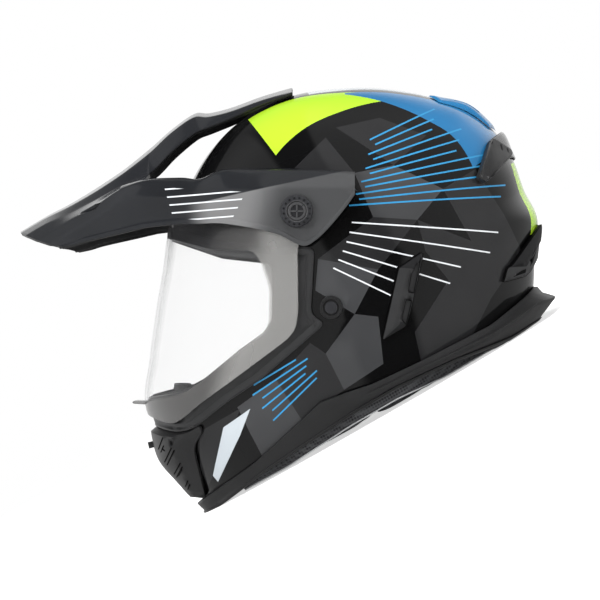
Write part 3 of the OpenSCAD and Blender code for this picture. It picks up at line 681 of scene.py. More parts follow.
def lacquer(name, low, high, rough=0.07, coat=1.0):
    """Clear-coated paint over a moulded shell."""
    m, t, s = material(name, {"Roughness": 0.4, "Specular IOR Level": 0.12, "Coat Weight": coat,
                              "Coat Roughness": rough, "Coat IOR": 1.48})
    put(t, s, {"Base Color": blend(t, noise(t, 14, 2), low, high)})
    bump(t, s, noise(t, 420, 1), 0.00001, 0.25)
    return m


def along(tree, direction):
    """Distance in the part's frame along a direction of the worn frame's side view."""
    axis = turn((direction[0], 0.0, direction[1]))
    inputs = {0: own_place(tree), 1: tuple(float(k) for k in axis)}
    return add(tree, "VectorMath", inputs, operation="DOT_PRODUCT").outputs["Value"]


def past_line(tree, normal, start, low, high, kind="LINEAR"):
    """From 0 to 1 between two distances, in mm, past a line of the side view."""
    normal = np.array(normal) / math.hypot(*normal)
    zero = float(turn((normal[0], 0.0, normal[1])) @ stand((start[0], 0.0, start[1])))
    return span(tree, along(tree, normal), zero + low / 1000, zero + high / 1000, kind)


def over_colour(m, factor, colour):
    """Another colour over a material's own, where a factor says."""
    shader = m.node_tree.nodes["Principled BSDF"]
    base = shader.inputs["Base Color"]
    under = base.links[0].from_socket if base.links else tuple(base.default_value)
    put(m.node_tree, shader, {"Base Color": mix(m.node_tree, factor, under, colour)})


def clear_plastic(name, tint, rough, facing, edge):
    """Clear or smoked polycarbonate, whose cover rises from facing to edge where it turns away."""
    m, t, s = material(name, {"Base Color": tint, "Roughness": rough, "Specular IOR Level": 1.0})
    turned_away = add(t, "LayerWeight", {"Blend": 0.35}).outputs["Facing"]
    put(t, s, {"Alpha": ramp(t, turned_away, (0.0, facing), (0.55, facing * 1.6), (1.0, edge))})
    return m


def cloth(name, low, high, cell, depth=0.00025, rough=0.92, regular=0.12):
    """Knitted or woven cloth: small cells with thread between them, and slow changes in tone."""
    m, t, s = material(name, {"Roughness": rough, "Specular IOR Level": 0.2, "Sheen Weight": 0.25,
                              "Sheen Roughness": 0.4})
    thread = cells(t, 1000 / cell, regular)
    tone = ramp(t, thread, (0.18, low), (0.55, high))
    worn = blend(t, noise(t, 35, 4), 0.78, 1.15)
    put(t, s, {"Base Color": mix(t, 1.0, tone, worn, blend_type="MULTIPLY")})
    bump(t, s, thread, depth, 0.8)
    return m


GLOSS = lacquer("gloss_black", (0.002, 0.002, 0.0022), (0.003, 0.003, 0.0033), 0.03)
FACET_MID = lacquer("gloss_grey_facet", (0.040, 0.041, 0.043), (0.052, 0.053, 0.056), 0.03)
FACET_LOW = lacquer("gloss_dark_facet", (0.015, 0.015, 0.016), (0.021, 0.021, 0.022), 0.03)
FACET_PALE = lacquer("gloss_pale_grey", (0.52, 0.57, 0.61), (0.58, 0.63, 0.67))
YELLOW = lacquer("gloss_lime", (0.40, 0.69, 0.022), (0.45, 0.74, 0.030), 0.04)
BLUE = lacquer("gloss_blue", (0.014, 0.155, 0.36), (0.018, 0.18, 0.40))
LINE_BLUE = lacquer("gloss_line_blue", (0.028, 0.25, 0.50), (0.034, 0.28, 0.55))
WHITE = lacquer("gloss_white", (0.72, 0.74, 0.77), (0.78, 0.80, 0.82))
PEAK_TONES = ((0.014, 0.015, 0.017), (0.019, 0.020, 0.023))
PEAK_GLOSS = lacquer("gloss_peak", *PEAK_TONES, 0.1, 0.9)
TRIM = moulded("matte_trim", (0.024, 0.0242, 0.0250), (0.031, 0.0313, 0.0323), (0.36, 0.48))
TRIM_DARK = moulded("matte_dark", (0.016, 0.016, 0.0165), (0.022, 0.022, 0.0225), (0.38, 0.5))
RUBBER = moulded("rubber", (0.012, 0.012, 0.013), (0.018, 0.018, 0.019), (0.6, 0.75), 1500,
                 0.00008, 0.3)
INSIDE = moulded("bare_inside", (0.03, 0.03, 0.032), (0.04, 0.04, 0.043), (0.6, 0.7), 900,
                 0.0001, 0.3)
HUB = moulded("nylon_hub", (0.035, 0.036, 0.04), (0.045, 0.046, 0.05))
# Near-black: painted shade in the slots, grooves and gaps of the trims
PAINTED_SHADE = moulded("painted_recess_shade", (0.0015, 0.0015, 0.0016), (0.003, 0.003, 0.0031), (0.6, 0.7), 3000,
                 0.00005, 0.1)
# A lighter copy of the screw's plastic for the centre of its head: a painted highlight
SCREW_PAINTED_HIGHLIGHT = moulded("moulded_screw_painted_highlight", (0.055, 0.055, 0.057), (0.075, 0.075, 0.078), (0.26, 0.36),
                     2400, 0.00004)
SCREW = moulded("moulded_screw", (0.022, 0.022, 0.025), (0.030, 0.031, 0.034), (0.3, 0.42), 2400,
                0.00005)
KNIT = cloth("knit_lining", (0.020, 0.021, 0.024), (0.052, 0.054, 0.060), 1.5)
NET = cloth("open_net", (0.010, 0.010, 0.011), (0.075, 0.076, 0.080), 2.3, 0.0005)
WEAVE = cloth("strap_weave", (0.010, 0.010, 0.011), (0.030, 0.030, 0.032), 1.1, 0.0003, 0.75, 0.0)
PIPING = cloth("pale_piping", (0.42, 0.43, 0.44), (0.60, 0.61, 0.62), 0.7, 0.00015)
THREAD = cloth("thread", (0.10, 0.10, 0.105), (0.17, 0.17, 0.175), 0.5, 0.0001, 0.7)

STEEL, steel_tree, steel_shader = material("zinc_steel", {"Metallic": 1.0})
put(steel_tree, steel_shader, {
    "Base Color": blend(steel_tree, noise(steel_tree, 260, 3), (0.50, 0.50, 0.51), (0.62, 0.62, 0.63)),
    "Roughness": blend(steel_tree, noise(steel_tree, 90, 4), 0.22, 0.36)})
bump(steel_tree, steel_shader, noise(steel_tree, 1500, 2), 0.00002, 0.4)

FOAM, foam_tree, foam_shader = material("beaded_foam", {"Roughness": 0.8, "Specular IOR Level": 0.3})
beads = cells(foam_tree, 330, 1.0)
put(foam_tree, foam_shader, {
    "Base Color": ramp(foam_tree, beads, (0.1, (0.046, 0.046, 0.048)), (0.8, (0.034, 0.034, 0.035)))})
bump(foam_tree, foam_shader, beads, 0.0002, 0.7, invert=True)

CLEAR = clear_plastic("clear_polycarbonate", (0.93, 0.94, 0.95, 1), 0.02, 0.025, 0.6)
BORDER = clear_plastic("smoke_border", (0.125, 0.123, 0.121, 1), 0.12, 0.5, 0.92)
smoke = BORDER.node_tree
# The band is paler towards the rear and bottom; its darker top front is a painted shadow of the peak
over_colour(BORDER, past_line(smoke, (1, -0.3), (-50, -60), 0, 22, SOFT), (0.36, 0.355, 0.345, 1))
over_colour(BORDER, product(smoke, past_line(smoke, (0.1, 1), (-60, -44), 0, 14, SOFT),
                            past_line(smoke, (-1, 0), (-38, 0), 0, 30)), (0.045, 0.045, 0.047, 1))

# The wings of the peak: dark above a slanting line and lighter below it, where the light grey is a
# painted reflection, with thin white lines of livery
WING_PAINT_AND_REFLECTION = lacquer("gloss_wing_and_reflection", *PEAK_TONES, 0.08, 0.9)
wing = WING_PAINT_AND_REFLECTION.node_tree
below = past_line(wing, (0.212, -0.977), (-51, 12), -0.3, 0.3)
behind = past_line(wing, (1, 0.1), (-92, 0), 0, 50, SOFT)
# Painted reflection: light grey below the slanting line, from about x -92 rearwards
over_colour(WING_PAINT_AND_REFLECTION, product(wing, below, behind), (0.062, 0.063, 0.065, 1))
# A brighter painted reflection below the line, between about x -86 and x -12
over_colour(WING_PAINT_AND_REFLECTION, product(wing, below, past_line(wing, (1, 0.1), (-86, 0), 0, 22, SOFT),
                                past_line(wing, (-1, 0.3), (-12, 0), 0, 30, SOFT)),
            (0.17, 0.17, 0.172, 1))
LINES_ANGLE = 94
LINES_PITCH = 0.0062
LINES_SHARE = 0.17
LINES_SOFT = 0.03
upward = np.array(on_rim(LINES_ANGLE)) / LINES_PITCH
lines = ramp(wing, maths(wing, "FRACT", along(wing, upward)), (0.0, 0.0), (LINES_SOFT, 1.0),
             (LINES_SHARE, 1.0), (LINES_SHARE + LINES_SOFT, 0.0))
sides = [past_line(wing, normal, start, 0, 0.3) for normal, start in (
    ((1, 0.3), (-96, 0)), ((-1, 0.5), (-46, 0)), ((0.07, 1), (-70, -6.5)), ((-0.07, -1), (-70, 17)))]
over_colour(WING_PAINT_AND_REFLECTION, product(wing, lines, *sides), (0.72, 0.74, 0.77, 1))


# Camera, floor and light
def look(obj, eye, at, up):
    back = (Vector(eye) - Vector(at)).normalized()
    side = Vector(up).cross(back).normalized()
    m = Matrix((side, back.cross(side), back)).transposed().to_4x4()
    m.translation = Vector(eye)
    obj.matrix_world = m


cam_data = bpy.data.cameras.new("camera")
camera = linked("camera", cam_data)
cam_data.lens = 180
cam_data.sensor_width = 36
cam_data.clip_end = 50
# The view is square to the side, and leans by the angle between the part's frame and the worn one
look(camera, (-0.0211, -2.4, 0.1089), (-0.0211, 0.0, 0.1089), (0.5, 0.0, 0.8660254))
bpy.context.scene.camera = camera
bpy.context.scene.view_settings.view_transform = "Standard"


def seen_directly(tree):
    """1 for what the camera sees, also through the shield, and 0 for what is lit or mirrored."""
    path = add(tree, "LightPath", {}).outputs
    return maths(tree, "MAXIMUM", path["Is Camera Ray"], path["Is Transmission Ray"])


FLOOR_GLOW = 0.62
FLOOR_HALF = 6
floor_paint, floor_tree, floor_shader = material("floor_pale", {
    "Base Color": (0.93, 0.93, 0.93, 1), "Roughness": 0.75, "Specular IOR Level": 0.1,
    "Emission Color": (1, 1, 1, 1)})
put(floor_tree, floor_shader, {
    "Emission Strength": maths(floor_tree, "MULTIPLY", seen_directly(floor_tree), FLOOR_GLOW)})
floor_mesh = bpy.data.meshes.new("floor")
corners = [(x * FLOOR_HALF, y * FLOOR_HALF, 0) for x, y in ((-1, -1), (1, -1), (1, 1), (-1, 1))]
floor_mesh.from_pydata(corners, [], [(0, 1, 2, 3)])
floor_mesh.materials.append(floor_paint)
floor = linked("floor", floor_mesh)
floor.visible_glossy = False

# A white sweep behind, a dim room in front for the gloss to mirror, and an even fill
world = bpy.data.worlds.new("studio")
bpy.context.scene.world = world
world.use_nodes = True
wt = world.node_tree
wt.nodes.clear()


def glow(strength):
    return add(wt, "Background", {"Color": (1, 1, 1, 1), "Strength": strength}).outputs[0]


def either(factor, low, high):
    return add(wt, "MixShader", {0: factor, 1: low, 2: high}).outputs[0]


GAP_AT = 0.09
way = add(wt, "SeparateXYZ", {0: add(wt, "TexCoord", {}).outputs["Generated"]}).outputs
# The gloss mirrors a dark gap round the camera between two wide pale panels
beside_gap = maths(wt, "ABSOLUTE", maths(wt, "ADD", way["X"], -GAP_AT))
in_front = either(span(wt, beside_gap, 0.15, 0.22), glow(0.015), glow(0.4))
# The sweep ends above, so the upper gloss mirrors a dark ceiling
sweep = either(span(wt, way["Z"], 0.34, 0.62), glow(0.9), glow(0.1))
# Below, it mirrors the shaded front of the table
in_back = either(span(wt, way["Z"], -0.3, 0.05), glow(0.3), sweep)
room = either(span(wt, way["Y"], 0.0, 0.75), in_front, in_back)
lit = either(add(wt, "LightPath", {}).outputs["Is Glossy Ray"], glow(0.5), room)
add(wt, "OutputWorld", {0: either(seen_directly(wt), lit, glow(1.0))})


def softbox(name, eye, at, size, watts):
    """A wide lamp that lights the part and isn't mirrored in it."""
    data = bpy.data.lights.new(name, "AREA")
    data.shape = "RECTANGLE"
    data.size, data.size_y = size
    data.energy = watts
    obj = linked(name, data)
    obj.visible_glossy = False
    steep = abs(eye[2] - at[2]) >= 0.9 * math.dist(eye, at)
    look(obj, eye, at, (1, 0, 0) if steep else (0, 0, 1))


softbox("key", (-1.2, -1.5, 1.5), (0, 0, 0.14), (1.1, 0.7), 28)
softbox("top", (0.5, -0.5, 1.8), (0.05, 0, 0.14), (1.6, 0.6), 28)
softbox("fill", (1.7, -1.5, 0.5), (0, 0, 0.12), (0.5, 1.3), 8)
softbox("low", (-1.6, -1.6, 0.35), (0, 0, 0.12), (0.35, 1.0), 4)


# Outlines on the side view, as worn, in mm
EYE_REAR = -18.0
RIM = [(-150, -240.5), (-77, -240.5), (-64, -232.5), (-28, -203), (2, -182), (41, -156),
       (77, -135), (121, -115), (166, -98.6), (186, -87.6), (240, -62)]
SKIRT = [(-150, -230), (-78, -229), (-70, -221), (-33, -193), (18, -145), (37, -138),
         (58, -131), (94, -114), (150, -86), (179, -64), (187, -57), (240, -50)]
EYEPORT = [(-170, -14), (-104, -19), (-62, -33), (EYE_REAR - 6, -37), (EYE_REAR - 1, -43),
           (EYE_REAR, -56), (EYE_REAR - 1, -82), (EYE_REAR - 9, -95), (-48, -108.5), (-72, -129.5),
           (-84, -136), (-116, -143), (-170, -150)]
FRAME_OUT = [(14, -27), (12.5, -50), (11, -78), (22, -84.5), (-28, -128), (-52, -144), (-73, -161),
             (-82, -166.5), (-92, -168.5), (-101, -167.5), (-116, -164), (-170, -156),
             (-170, -5), (-104, -7), (-62, -21), (-20, -27)]
SHIELD_OUT = [(12, 6), (2, -27), (2, -76), (0, -88), (-5, -94.5), (-14, -101.5), (-40, -121),
              (-72, -144.5), (-84, -155), (-92, -160), (-102, -158.5), (-121, -152), (-170, -140),
              (-170, -1), (-98, -4), (-60, -7), (-38, -6), (-22, 0), (-10, 9)]
SIGHT_OUT = [(-175, -10), (-104, -17), (-60, -29), (-32, -29), (-25, -37), (-22, -46), (-18.5, -58),
             (-19.5, -84), (-24, -91), (-46, -107), (-74, -130), (-86, -138), (-118, -145),
             (-175, -150)]
CHIN_REAR = [(-74.5, -163.5), (-72.5, -169), (-78.5, -179), (-79, -185), (-71.0, -221), (-78.3, -228.3)]
CHIN_OUT = [(-170, -157), (-116, -165.5), (-101, -169), (-92, -170), (-82, -168)] + CHIN_REAR \
    + [(-170, -228.6)]
SIDE_VENT = [(95.4, -31.6), (94, -31), (77, -42.6), (65, -96), (66, -97.3), (82.6, -87.4),
             (83.4, -84.6)]
SPOILER = [(137, 25), (148, 55.5), (165, 68), (200, 78), (200, 40), (168, 45), (144, 22)]
LOWER_OUT = [(158, -53.5), (161, -43), (165.5, -39), (186, -13), (191, -7.5), (212, -7),
             (212, -19), (193.5, -21), (189.5, -33), (181, -45), (176, -49)]
SHELL_OUT = raised(RIM, 3.4) + [(240, 300), (-260, 300)]

# The shell: raised lines in its form, then its colours
CREST = [(-60, 112), (-20, 108), (30, 112), (80, 106), (124, 84), (150, 55)]
CREASE = [(44, -60), (20, -110), (-2, -136), (-30, -160), (-58, -196)]
SHELL_HOLES = [inset(EYEPORT, -3.4), inset(SIDE_VENT, 6)]


def shell_height(x, z):
    """The shell's outside, with two soft ridges."""
    crest = distance(x, z, CREST, False)
    crease = distance(x, z, CREASE, False)
    return -0.5 + 0.5 * np.exp(-(crest / 7) ** 2) + 0.45 * np.exp(-(crease / 5) ** 2)


def on_arc(angle, share):
    """A point of the side view at an angle round the middle and a share of the reach there."""
    r = float(reach(angle)) * share
    return (MID_X + r * math.cos(math.radians(angle)), MID_Z + r * math.sin(math.radians(angle)))


def arc_band(a0, a1, outer, inner, n=24):
    """A band between two curves that run along the skin's edge: shares at its start and end."""
    up, down = [[on_arc(a0 + (a1 - a0) * k, share[0] + (share[1] - share[0]) * k)
                 for k in np.linspace(0, 1, n)] for share in (outer, inner)]
    return up + down[::-1]


def ray(root, angle, start, end, width):
    """A thin band that points away from a root."""
    d = np.array(on_rim(angle))
    a, b = root + d * start, root + d * end
    n = across(unit(b - a)) * width / 2
    return [tuple(p) for p in (a + n, b + n, b - n, a - n)]


SHELL_MATERIALS = [GLOSS, FACET_LOW, FACET_MID, FACET_PALE, YELLOW, BLUE, WHITE, INSIDE, LINE_BLUE]
PLAIN_I, LOW_I, MID_I, PALE_I, LIME_I, BLUE_I, WHITE_I, INSIDE_I, LINE_I = range(9)
# A plain livery of facets, long wedges and fans of thin lines. Each polygon lies over the last
LIVERY = [
    ([(-2, 34), (22, 58), (44, 30)], LOW_I),
    ([(30, 66), (64, 74), (100, 60), (74, 36)], LOW_I),
    ([(44, 30), (74, 36), (112, 18), (92, -6), (58, -4)], MID_I),
    ([(112, 18), (138, 34), (160, 0), (134, -22)], LOW_I),
    ([(16, -36), (58, -4), (92, -6), (62, -44)], LOW_I),
    ([(92, -6), (134, -22), (116, -52), (98, -30)], LOW_I),
    ([(62, -44), (16, -36), (14, -60), (44, -78)], MID_I),
    ([(134, -22), (160, 0), (176, -30), (150, -66), (116, -52)], LOW_I),
    ([(90, -92), (116, -52), (150, -66), (128, -108), (96, -118)], LOW_I),
    ([(44, -78), (62, -80), (66, -116), (36, -136), (22, -108)], MID_I),
    ([(22, -108), (36, -136), (4, -160), (-16, -128), (10, -100)], LOW_I),
    ([(-16, -128), (4, -160), (-26, -190), (-46, -150)], MID_I),
    ([(-76, -170), (-44, -151), (-52, -176), (-70, -214), (-76, -200)], LOW_I),
    (arc_band(126, 71, (0.97, 0.952), (0.70, 0.936)), LIME_I),
    (arc_band(104, 64, (1.2, 1.2), (0.972, 0.985)), PALE_I),
    (arc_band(92, 37, (0.955, 0.985), (0.945, 0.76)), BLUE_I),
    ([(-57, -166), (-36, -151), (-44, -172), (-62, -210), (-66, -205)], PALE_I),
    (arc_band(368, 391, (0.997, 0.996), (0.940, 0.962)), LIME_I),
]
FAN_ROOT = (-58, -2)
LOW_ROOT = (76, -66)
for i in range(11):
    far = 186 + 4 * i - 9 * (i % 3)
    LIVERY.append((ray(FAN_ROOT, 27 - i * 2.3, 128 - 3 * i + 5 * (i % 2), far, 1.25), LINE_I))
for i, far in enumerate((214, 209, 188, 183, 150, 157)):
    LIVERY.append((ray(FAN_ROOT, -3.5 - i * 4.4, 100 - i, far, 1.1), WHITE_I))
for i in range(2, 8):
    LIVERY.append((ray(LOW_ROOT, 206 + i * 2.7, 82 + 4 * (i % 3), 128 + 5 * (i % 2), 1.2), LINE_I))
# Plain black under the side vent, grown so that a thin black line round it stands in as painted shade
# of the gap
LIVERY.append((inset(SIDE_VENT, -0.8), PLAIN_I))

plate("shell", "helmet", "shell_gloss", "outer_shell", SHELL_MATERIALS,
      [SHELL_OUT] + SHELL_HOLES + [polygon for polygon, _ in LIVERY], within(SHELL_OUT, *SHELL_HOLES),
      shell_height, level(-SHELL_T), spacing=0.024, paint=painter(LIVERY), wall=INSIDE_I)

FRAME_HOLE = inset(EYEPORT, -0.6)
FRAME_EDGE = rounded(FRAME_OUT, 7)


def frame_height(x, z):
    """The frame's outside: rounded edges and a groove that runs round the eyeport."""
    d = np.minimum(distance(x, z, FRAME_EDGE), distance(x, z, FRAME_HOLE))
    groove = distance(x, z, inset(FRAME_EDGE, 5.5))
    return SEAT_GAP + FRAME_T - rolled(d, 1.4, 1.2) - 0.8 * np.exp(-(groove / 0.8) ** 2)


plate("eyeport_trim", "helmet", "trim_matte", "eyeport_frame", [TRIM],
      insets(FRAME_EDGE, 0.6, 1.6, 4.6, 5.5, 6.4) + insets(FRAME_HOLE, -0.6, -1.6),
      within(FRAME_EDGE, FRAME_HOLE), frame_height, level(SEAT_GAP), spacing=0.035)

# Clear shield, with a smoke-grey band printed round its edge; the band's darker top front is a painted
# shadow of the peak
SHIELD_EDGE = rounded(SHIELD_OUT, 5)
SIGHT = rounded(SIGHT_OUT, 6)
EAR_IN = 122.4
EAR_OUT = EAR_IN + SHIELD_T


def ear_lift(p, outside):
    """Near the pivot the shield rises to the level of its flat ear."""
    w = smooth((EAR_R + 24 - np.hypot(p[:, 0], p[:, 2])) / 17)
    q = p.copy()
    q[:, 1] = (1 - w) * p[:, 1] + w * (EAR_OUT if outside else EAR_IN)
    return q


def shield_keep(x, z):
    d = np.hypot(x, z)
    return (inside(x, z, SHIELD_EDGE) | (d < EAR_R)) & (d > BORE_R)


plate("clear_shield", "shield", "clear_shield", "face_shield", [CLEAR, BORDER],
      [SHIELD_EDGE, SIGHT, circle(EAR_R, 40), circle(BORE_R, 40)], shield_keep,
      level(SHIELD_SEAT + SHIELD_T), level(SHIELD_SEAT), spacing=0.03,
      paint=painter([(SIGHT, 0)], 1), wall=1, warp=ear_lift, see_through=True)


# Peak: three lofted sheets, with crisp lines along their columns and smooth curves along their rows
def crown_z(x):
    """Height of the skin's middle line over a place ahead or behind."""
    angle = 90.0
    for _ in range(6):
        angle = math.degrees(math.acos((x - MID_X) / float(reach(angle))))
    return MID_Z + float(reach(angle)) * math.sin(math.radians(angle))


CORNER_Y = 85.0
BEAM_Y = 33.0
CROWN_GAP = 4.1
WING_IN = EAR_OUT + 0.25 + 0.7
WING_OUT = WING_IN + PEAK_T
R = PEAK_REACH
BILL_ROWS = [
    [(-R, 0, -12.5), (2 - R, 22, -14), (8 - R, 42, -16.5), (17 - R, 60, -20),
     (29 - R, CORNER_Y - 9, -24), (-181, CORNER_Y, -26)],
    [(-200, 0, 0), (-199, 26, -2.5), (-196, 46, -7), (-190, 64, -13), (-182, 80, -19),
     (-172, 88.5, -24.5)],
    [(-180, 0, 10.5), (-180, 32, 6.5), (-179, 50, 0), (-176, 70, -5), (-170, 85, -12), (-162, 91, -22)],
    [(-158, 0, 24), (-158, BEAM_Y, 19), (-158, 50, 11), (-157, 78, 5), (-154, 90, -4),
     (-148, 94.5, -19)],
    [(-136, 0, 39), (-136, BEAM_Y, 33.5), (-136, 46, 23), (-137, 86, 18), (-137, 96, 7),
     (-134, 98.5, -16)],
    [(-117, 0, 54.5), (-117, BEAM_Y, 48), (-116, 42, 32), (-117, 94, 24.5), (-118, 100.5, 12),
     (-117, 102, -12)]]
BEAM_ROWS = [BILL_ROWS[4][:3], BILL_ROWS[5][:3]] + [
    [(x, 0, top), (x, BEAM_Y, top - 5.5), (x, foot_y, foot)] for x, top, foot, foot_y in (
        (-100, 69.5, 48, 41), (-82, 82, 63, 40), (-70, 82.5, 68.5, 39), (-52, 87, 76, 38),
        (-28, crown_z(-28) + CROWN_GAP + PEAK_T + 2.5, crown_z(-28) + 0.6, 37),
        (-4, crown_z(-4) + CROWN_GAP + PEAK_T, crown_z(-4) + 0.4, 37))]
WING_ROWS = [[(-136, 78, 21)] + BILL_ROWS[4][3:], [(-117, 85, 26)] + BILL_ROWS[5][3:]] + [
    [(x, y, z) for y, z in row] for x, row in (
        (-89, [(92, 27), (99.5, 25.5), (106, 12), (107, -9)]),
        (-74, [(96, 26), (104, 24.5), (111, 12), (112, -9)]),
        (-57, [(101, 33), (110, 31), (119, 15), (121, -9)]),
        (-32, [(105, 33.5), (115, 31.5), (WING_OUT - 1, 17), (WING_OUT - 0.6, -13)]),
        (-14, [(109, 33.5), (119, 31.5), (WING_OUT, 18), (WING_OUT, -17.5)]),
        (4, [(111, 33), (121, 31), (WING_OUT, 18), (WING_OUT, -26)]),
        (14, [(112.5, 32.5), (122, 30.5), (WING_OUT, 18), (WING_OUT, -22)]),
        (25, [(114, 32), (122, 30), (WING_OUT, 18), (WING_OUT, -11.5)]),
        (37, [(115, 31), (121.5, 29), (WING_OUT - 0.6, 19), (WING_OUT - 0.4, 3)]),
        (44, [(115.5, 30.5), (121, 28.5), (WING_OUT - 2, 21), (WING_OUT - 1.6, 13)]))]


def lipped(row):
    """A row whose lower end turns out into a narrow lip."""
    before, last = np.array(row[-2], dtype=float), np.array(row[-1], dtype=float)
    back = unit(before - last)
    return row[:-1] + [tuple(last + 4.2 * back), tuple(last + 3.2 * back + (0, 1.5, 0)),
                       tuple(last + (0, 1.7, 0))]


def mirrored(row):
    return [(x, -y, z) for x, y, z in row[:0:-1]] + row


def across_row(points, r):
    """A row with its corners rounded, always with the same count of points."""
    p = np.asarray(points, dtype=float)
    out, last = [p[0]], p[0]
    for before, q, after in zip(p, p[1:], p[2:]):
        arc = corner(q, before, after, r, 0.4, 3)
        out += [last + (arc[0] - last) * j / 3 for j in (1, 2)] + arc
        last = arc[-1]
    return out + [last + (p[-1] - last) * j / 3 for j in (1, 2, 3)]


def peak_sheet(name, rows, number, r=2.5, both=False, slots=()):
    """A wall of even thickness under a dense grid through rows of points."""
    columns = zip(*[across_row(row, r) for row in rows])
    grid = np.array([curve(np.array(column)) for column in columns]).transpose(1, 0, 2)
    n = unit(np.cross(np.gradient(grid, axis=0), np.gradient(grid, axis=1)), 1e-9)
    verts, faces = walled(grid, grid - PEAK_T * n)
    upper = (grid.shape[0] - 1) * (grid.shape[1] - 1)
    mats = [number] * upper + [1] * (len(faces) - upper)
    if both:
        faces = faces + [tuple(k + len(verts) for k in f[::-1]) for f in faces]
        verts = np.concatenate([verts, verts * (1, -1, 1)])
        mats = mats + mats
    obj = fix_normals(new_object(name, stand(verts), faces, [PEAK_GLOSS, TRIM_DARK, WING_PAINT_AND_REFLECTION], mats))
    if slots:
        cut(obj, slots)
    return placed(soften(obj, 0.0006), "peak_body", "peak_plastic", "peak")


BILL_SLOT = [(-171, -1), (-165, 5), (-151, 8.5), (-156, 2.5)]
peak_sheet("peak_bill", [mirrored(lipped(row)) for row in BILL_ROWS], 0,
           slots=[walls("slot", [BILL_SLOT], *sorted((70 * s, 120 * s))) for s in (1, -1)])
peak_sheet("peak_beam", [mirrored(row) for row in BEAM_ROWS], 0, 3.0)
peak_sheet("peak_wings", [lipped(row) for row in WING_ROWS], 2, both=True)


# Chin vent: a raised cover, seen from the front and the side; its slots are near-black lines laid over
# it as painted shade
CHIN_EDGE = rounded(CHIN_OUT, 2.5)
CHIN_CREASE = [(-99.2, -182.2), (-90, -203), (-80.5, -229)]
CHIN_SIDE = [(-94, -171)] + CHIN_CREASE + CHIN_REAR[::-1] + [(-82, -160)]
CHIN_BROW = [(-150, -150), (-117, -161), (-99.2, -182.2), (-76.4, -165.6), (-70, -150)]
CHIN_GROOVES = [[(-109.5, -185), (-105.4, -175.3)], [(-102.6, -197.4), (-96.2, -185)],
                [(-104.6, -195.2), (-98.6, -183.4)], [(-97.1, -204.9), (-91.6, -195.3)],
                [(-95.2, -207.4), (-90.2, -198.4)], [(-88.2, -214.6), (-86.1, -209.8)],
                [(-86.4, -217), (-84.6, -212.8)], [(-107.4, -187.2), (-105.0, -182)],
                [(-106.2, -184.6), (-104, -185.8)], [(-93.4, -205.8), (-90.6, -200.4)]]
CHIN_LOW = 1.9


def chin_height(x, z):
    """The cover's outside: flush with the shell behind, full in front of a crease, lower above."""
    rear = distance(x, z, CHIN_REAR, False)
    front = distance(x, z, CHIN_CREASE, False)
    rise = np.where(inside(x, z, CHIN_SIDE), rear / np.maximum(rear + front, 1e-6), 1.0)
    rise = np.minimum(rise, rear / 8.0)
    off = CHIN_LOW + (CHIN_VENT_T - 0.3 - CHIN_LOW) * rise
    return off - rolled(distance(x, z, CHIN_EDGE), 1.2, 1.1) - 0.9 * field(x, z, CHIN_BROW, 2.5) * rise


plate("chin_cover", "helmet", "trim_matte", "chin_vent", [TRIM_DARK], insets(CHIN_EDGE, 0.5, 1.3),
      within(CHIN_EDGE), chin_height, level(SEAT_GAP), spacing=0.02,
      open_lines=[CHIN_BROW, inset(CHIN_BROW, 2.5), CHIN_CREASE])


# Rim skirt: a ring of sections round the head, with a flared collar behind
def lookup(x, line):
    pts = sorted(line)
    return np.interp(x, [p[0] for p in pts], [p[1] for p in pts])


def on_skin(heading, line, off, raise_by=0.0):
    """The point of the skin over a side-view line, at a heading round the head."""
    c, s = on_rim(heading)
    line = raised(line, raise_by)

    def in_the_open(r):
        x = MID_X + r * c
        y = side_y(x, lookup(x, line), off)
        return (y > abs(r * s)) & (y > 0)
    r = halve(20.0, 260.0, in_the_open, 26)
    return np.array([MID_X + r * c, r * s, lookup(MID_X + r * c, line)])


RIDGE = [(x, z + 0.42 * (lookup(x, RIM) - z)) for x, z in SKIRT]


def flare(heading):
    return COLLAR_FLARE * smooth((105 - min(heading, 360 - heading)) / 85)


def skirt_section(h):
    """The skirt's section at a heading: lines, heights over them and offsets from the skin."""
    f = flare(h)
    b = SKIRT_T + 4.8 * math.exp(-((h - 180) / 24) ** 4)
    lip = SKIRT_T + 5.5 * math.exp(-((h - 180) / 26) ** 2)
    return [on_skin(h, line, off, dz) for line, dz, off in (
        (SKIRT, 0, b - 0.9), (SKIRT, -0.8, b - 0.1), (SKIRT, -5, b + 0.25 * f),
        (RIDGE, 0.8, b + 0.97 * f), (RIDGE, -0.3, b + f), (RIDGE, -1.4, b + 0.97 * f),
        (RIDGE, -3.4, b + 0.84 * f),
        (RIM, 3.2, lip + 0.3 * f), (RIM, 2.6, lip + 0.9 + 0.3 * f), (RIM, 1.4, lip + 1.1 + 0.2 * f),
        (RIM, 0.4, lip + 0.4), (RIM, 0, lip - 0.8), (RIM, 0, -4.6), (RIM, 0.6, -5), (RIM, 3, -5),
        (RIM, 3, SEAT_GAP), (SKIRT, 0, SEAT_GAP))]


def raised_to(points, least):
    """Points in metres brought up to a least height over the table."""
    points[:, 2] = np.maximum(points[:, 2], least)
    return points


sections = np.array([skirt_section(h) for h in np.arange(0, 360, 2.5)])
skirt = new_object("rim_trim", raised_to(stand(sections.reshape(-1, 3)), 0.0),
                   net(*sections.shape[:2], round_rows=True, round_cols=True), [TRIM_DARK])
placed(fix_normals(skirt), "helmet", "trim_matte", "rim_skirt", angle=50)

# Spoiler, lower outlet and side vents
SPOILER_EDGE = rounded(SPOILER, 3)
SPOILER_PANEL = [(141.5, 28), (150, 56.5), (170, 50.5), (168.5, 46.5), (148, 26.5)]


def spoiler_height(x, z):
    lower = 2.6 * smooth((66 - z) / 16) * smooth((x - 150) / 14)
    edge = rolled(distance(x, z, SPOILER_EDGE), 1.8, 1.6)
    return SPOILER_T - lower - edge - 0.8 * field(x, z, SPOILER_PANEL, 0.7)


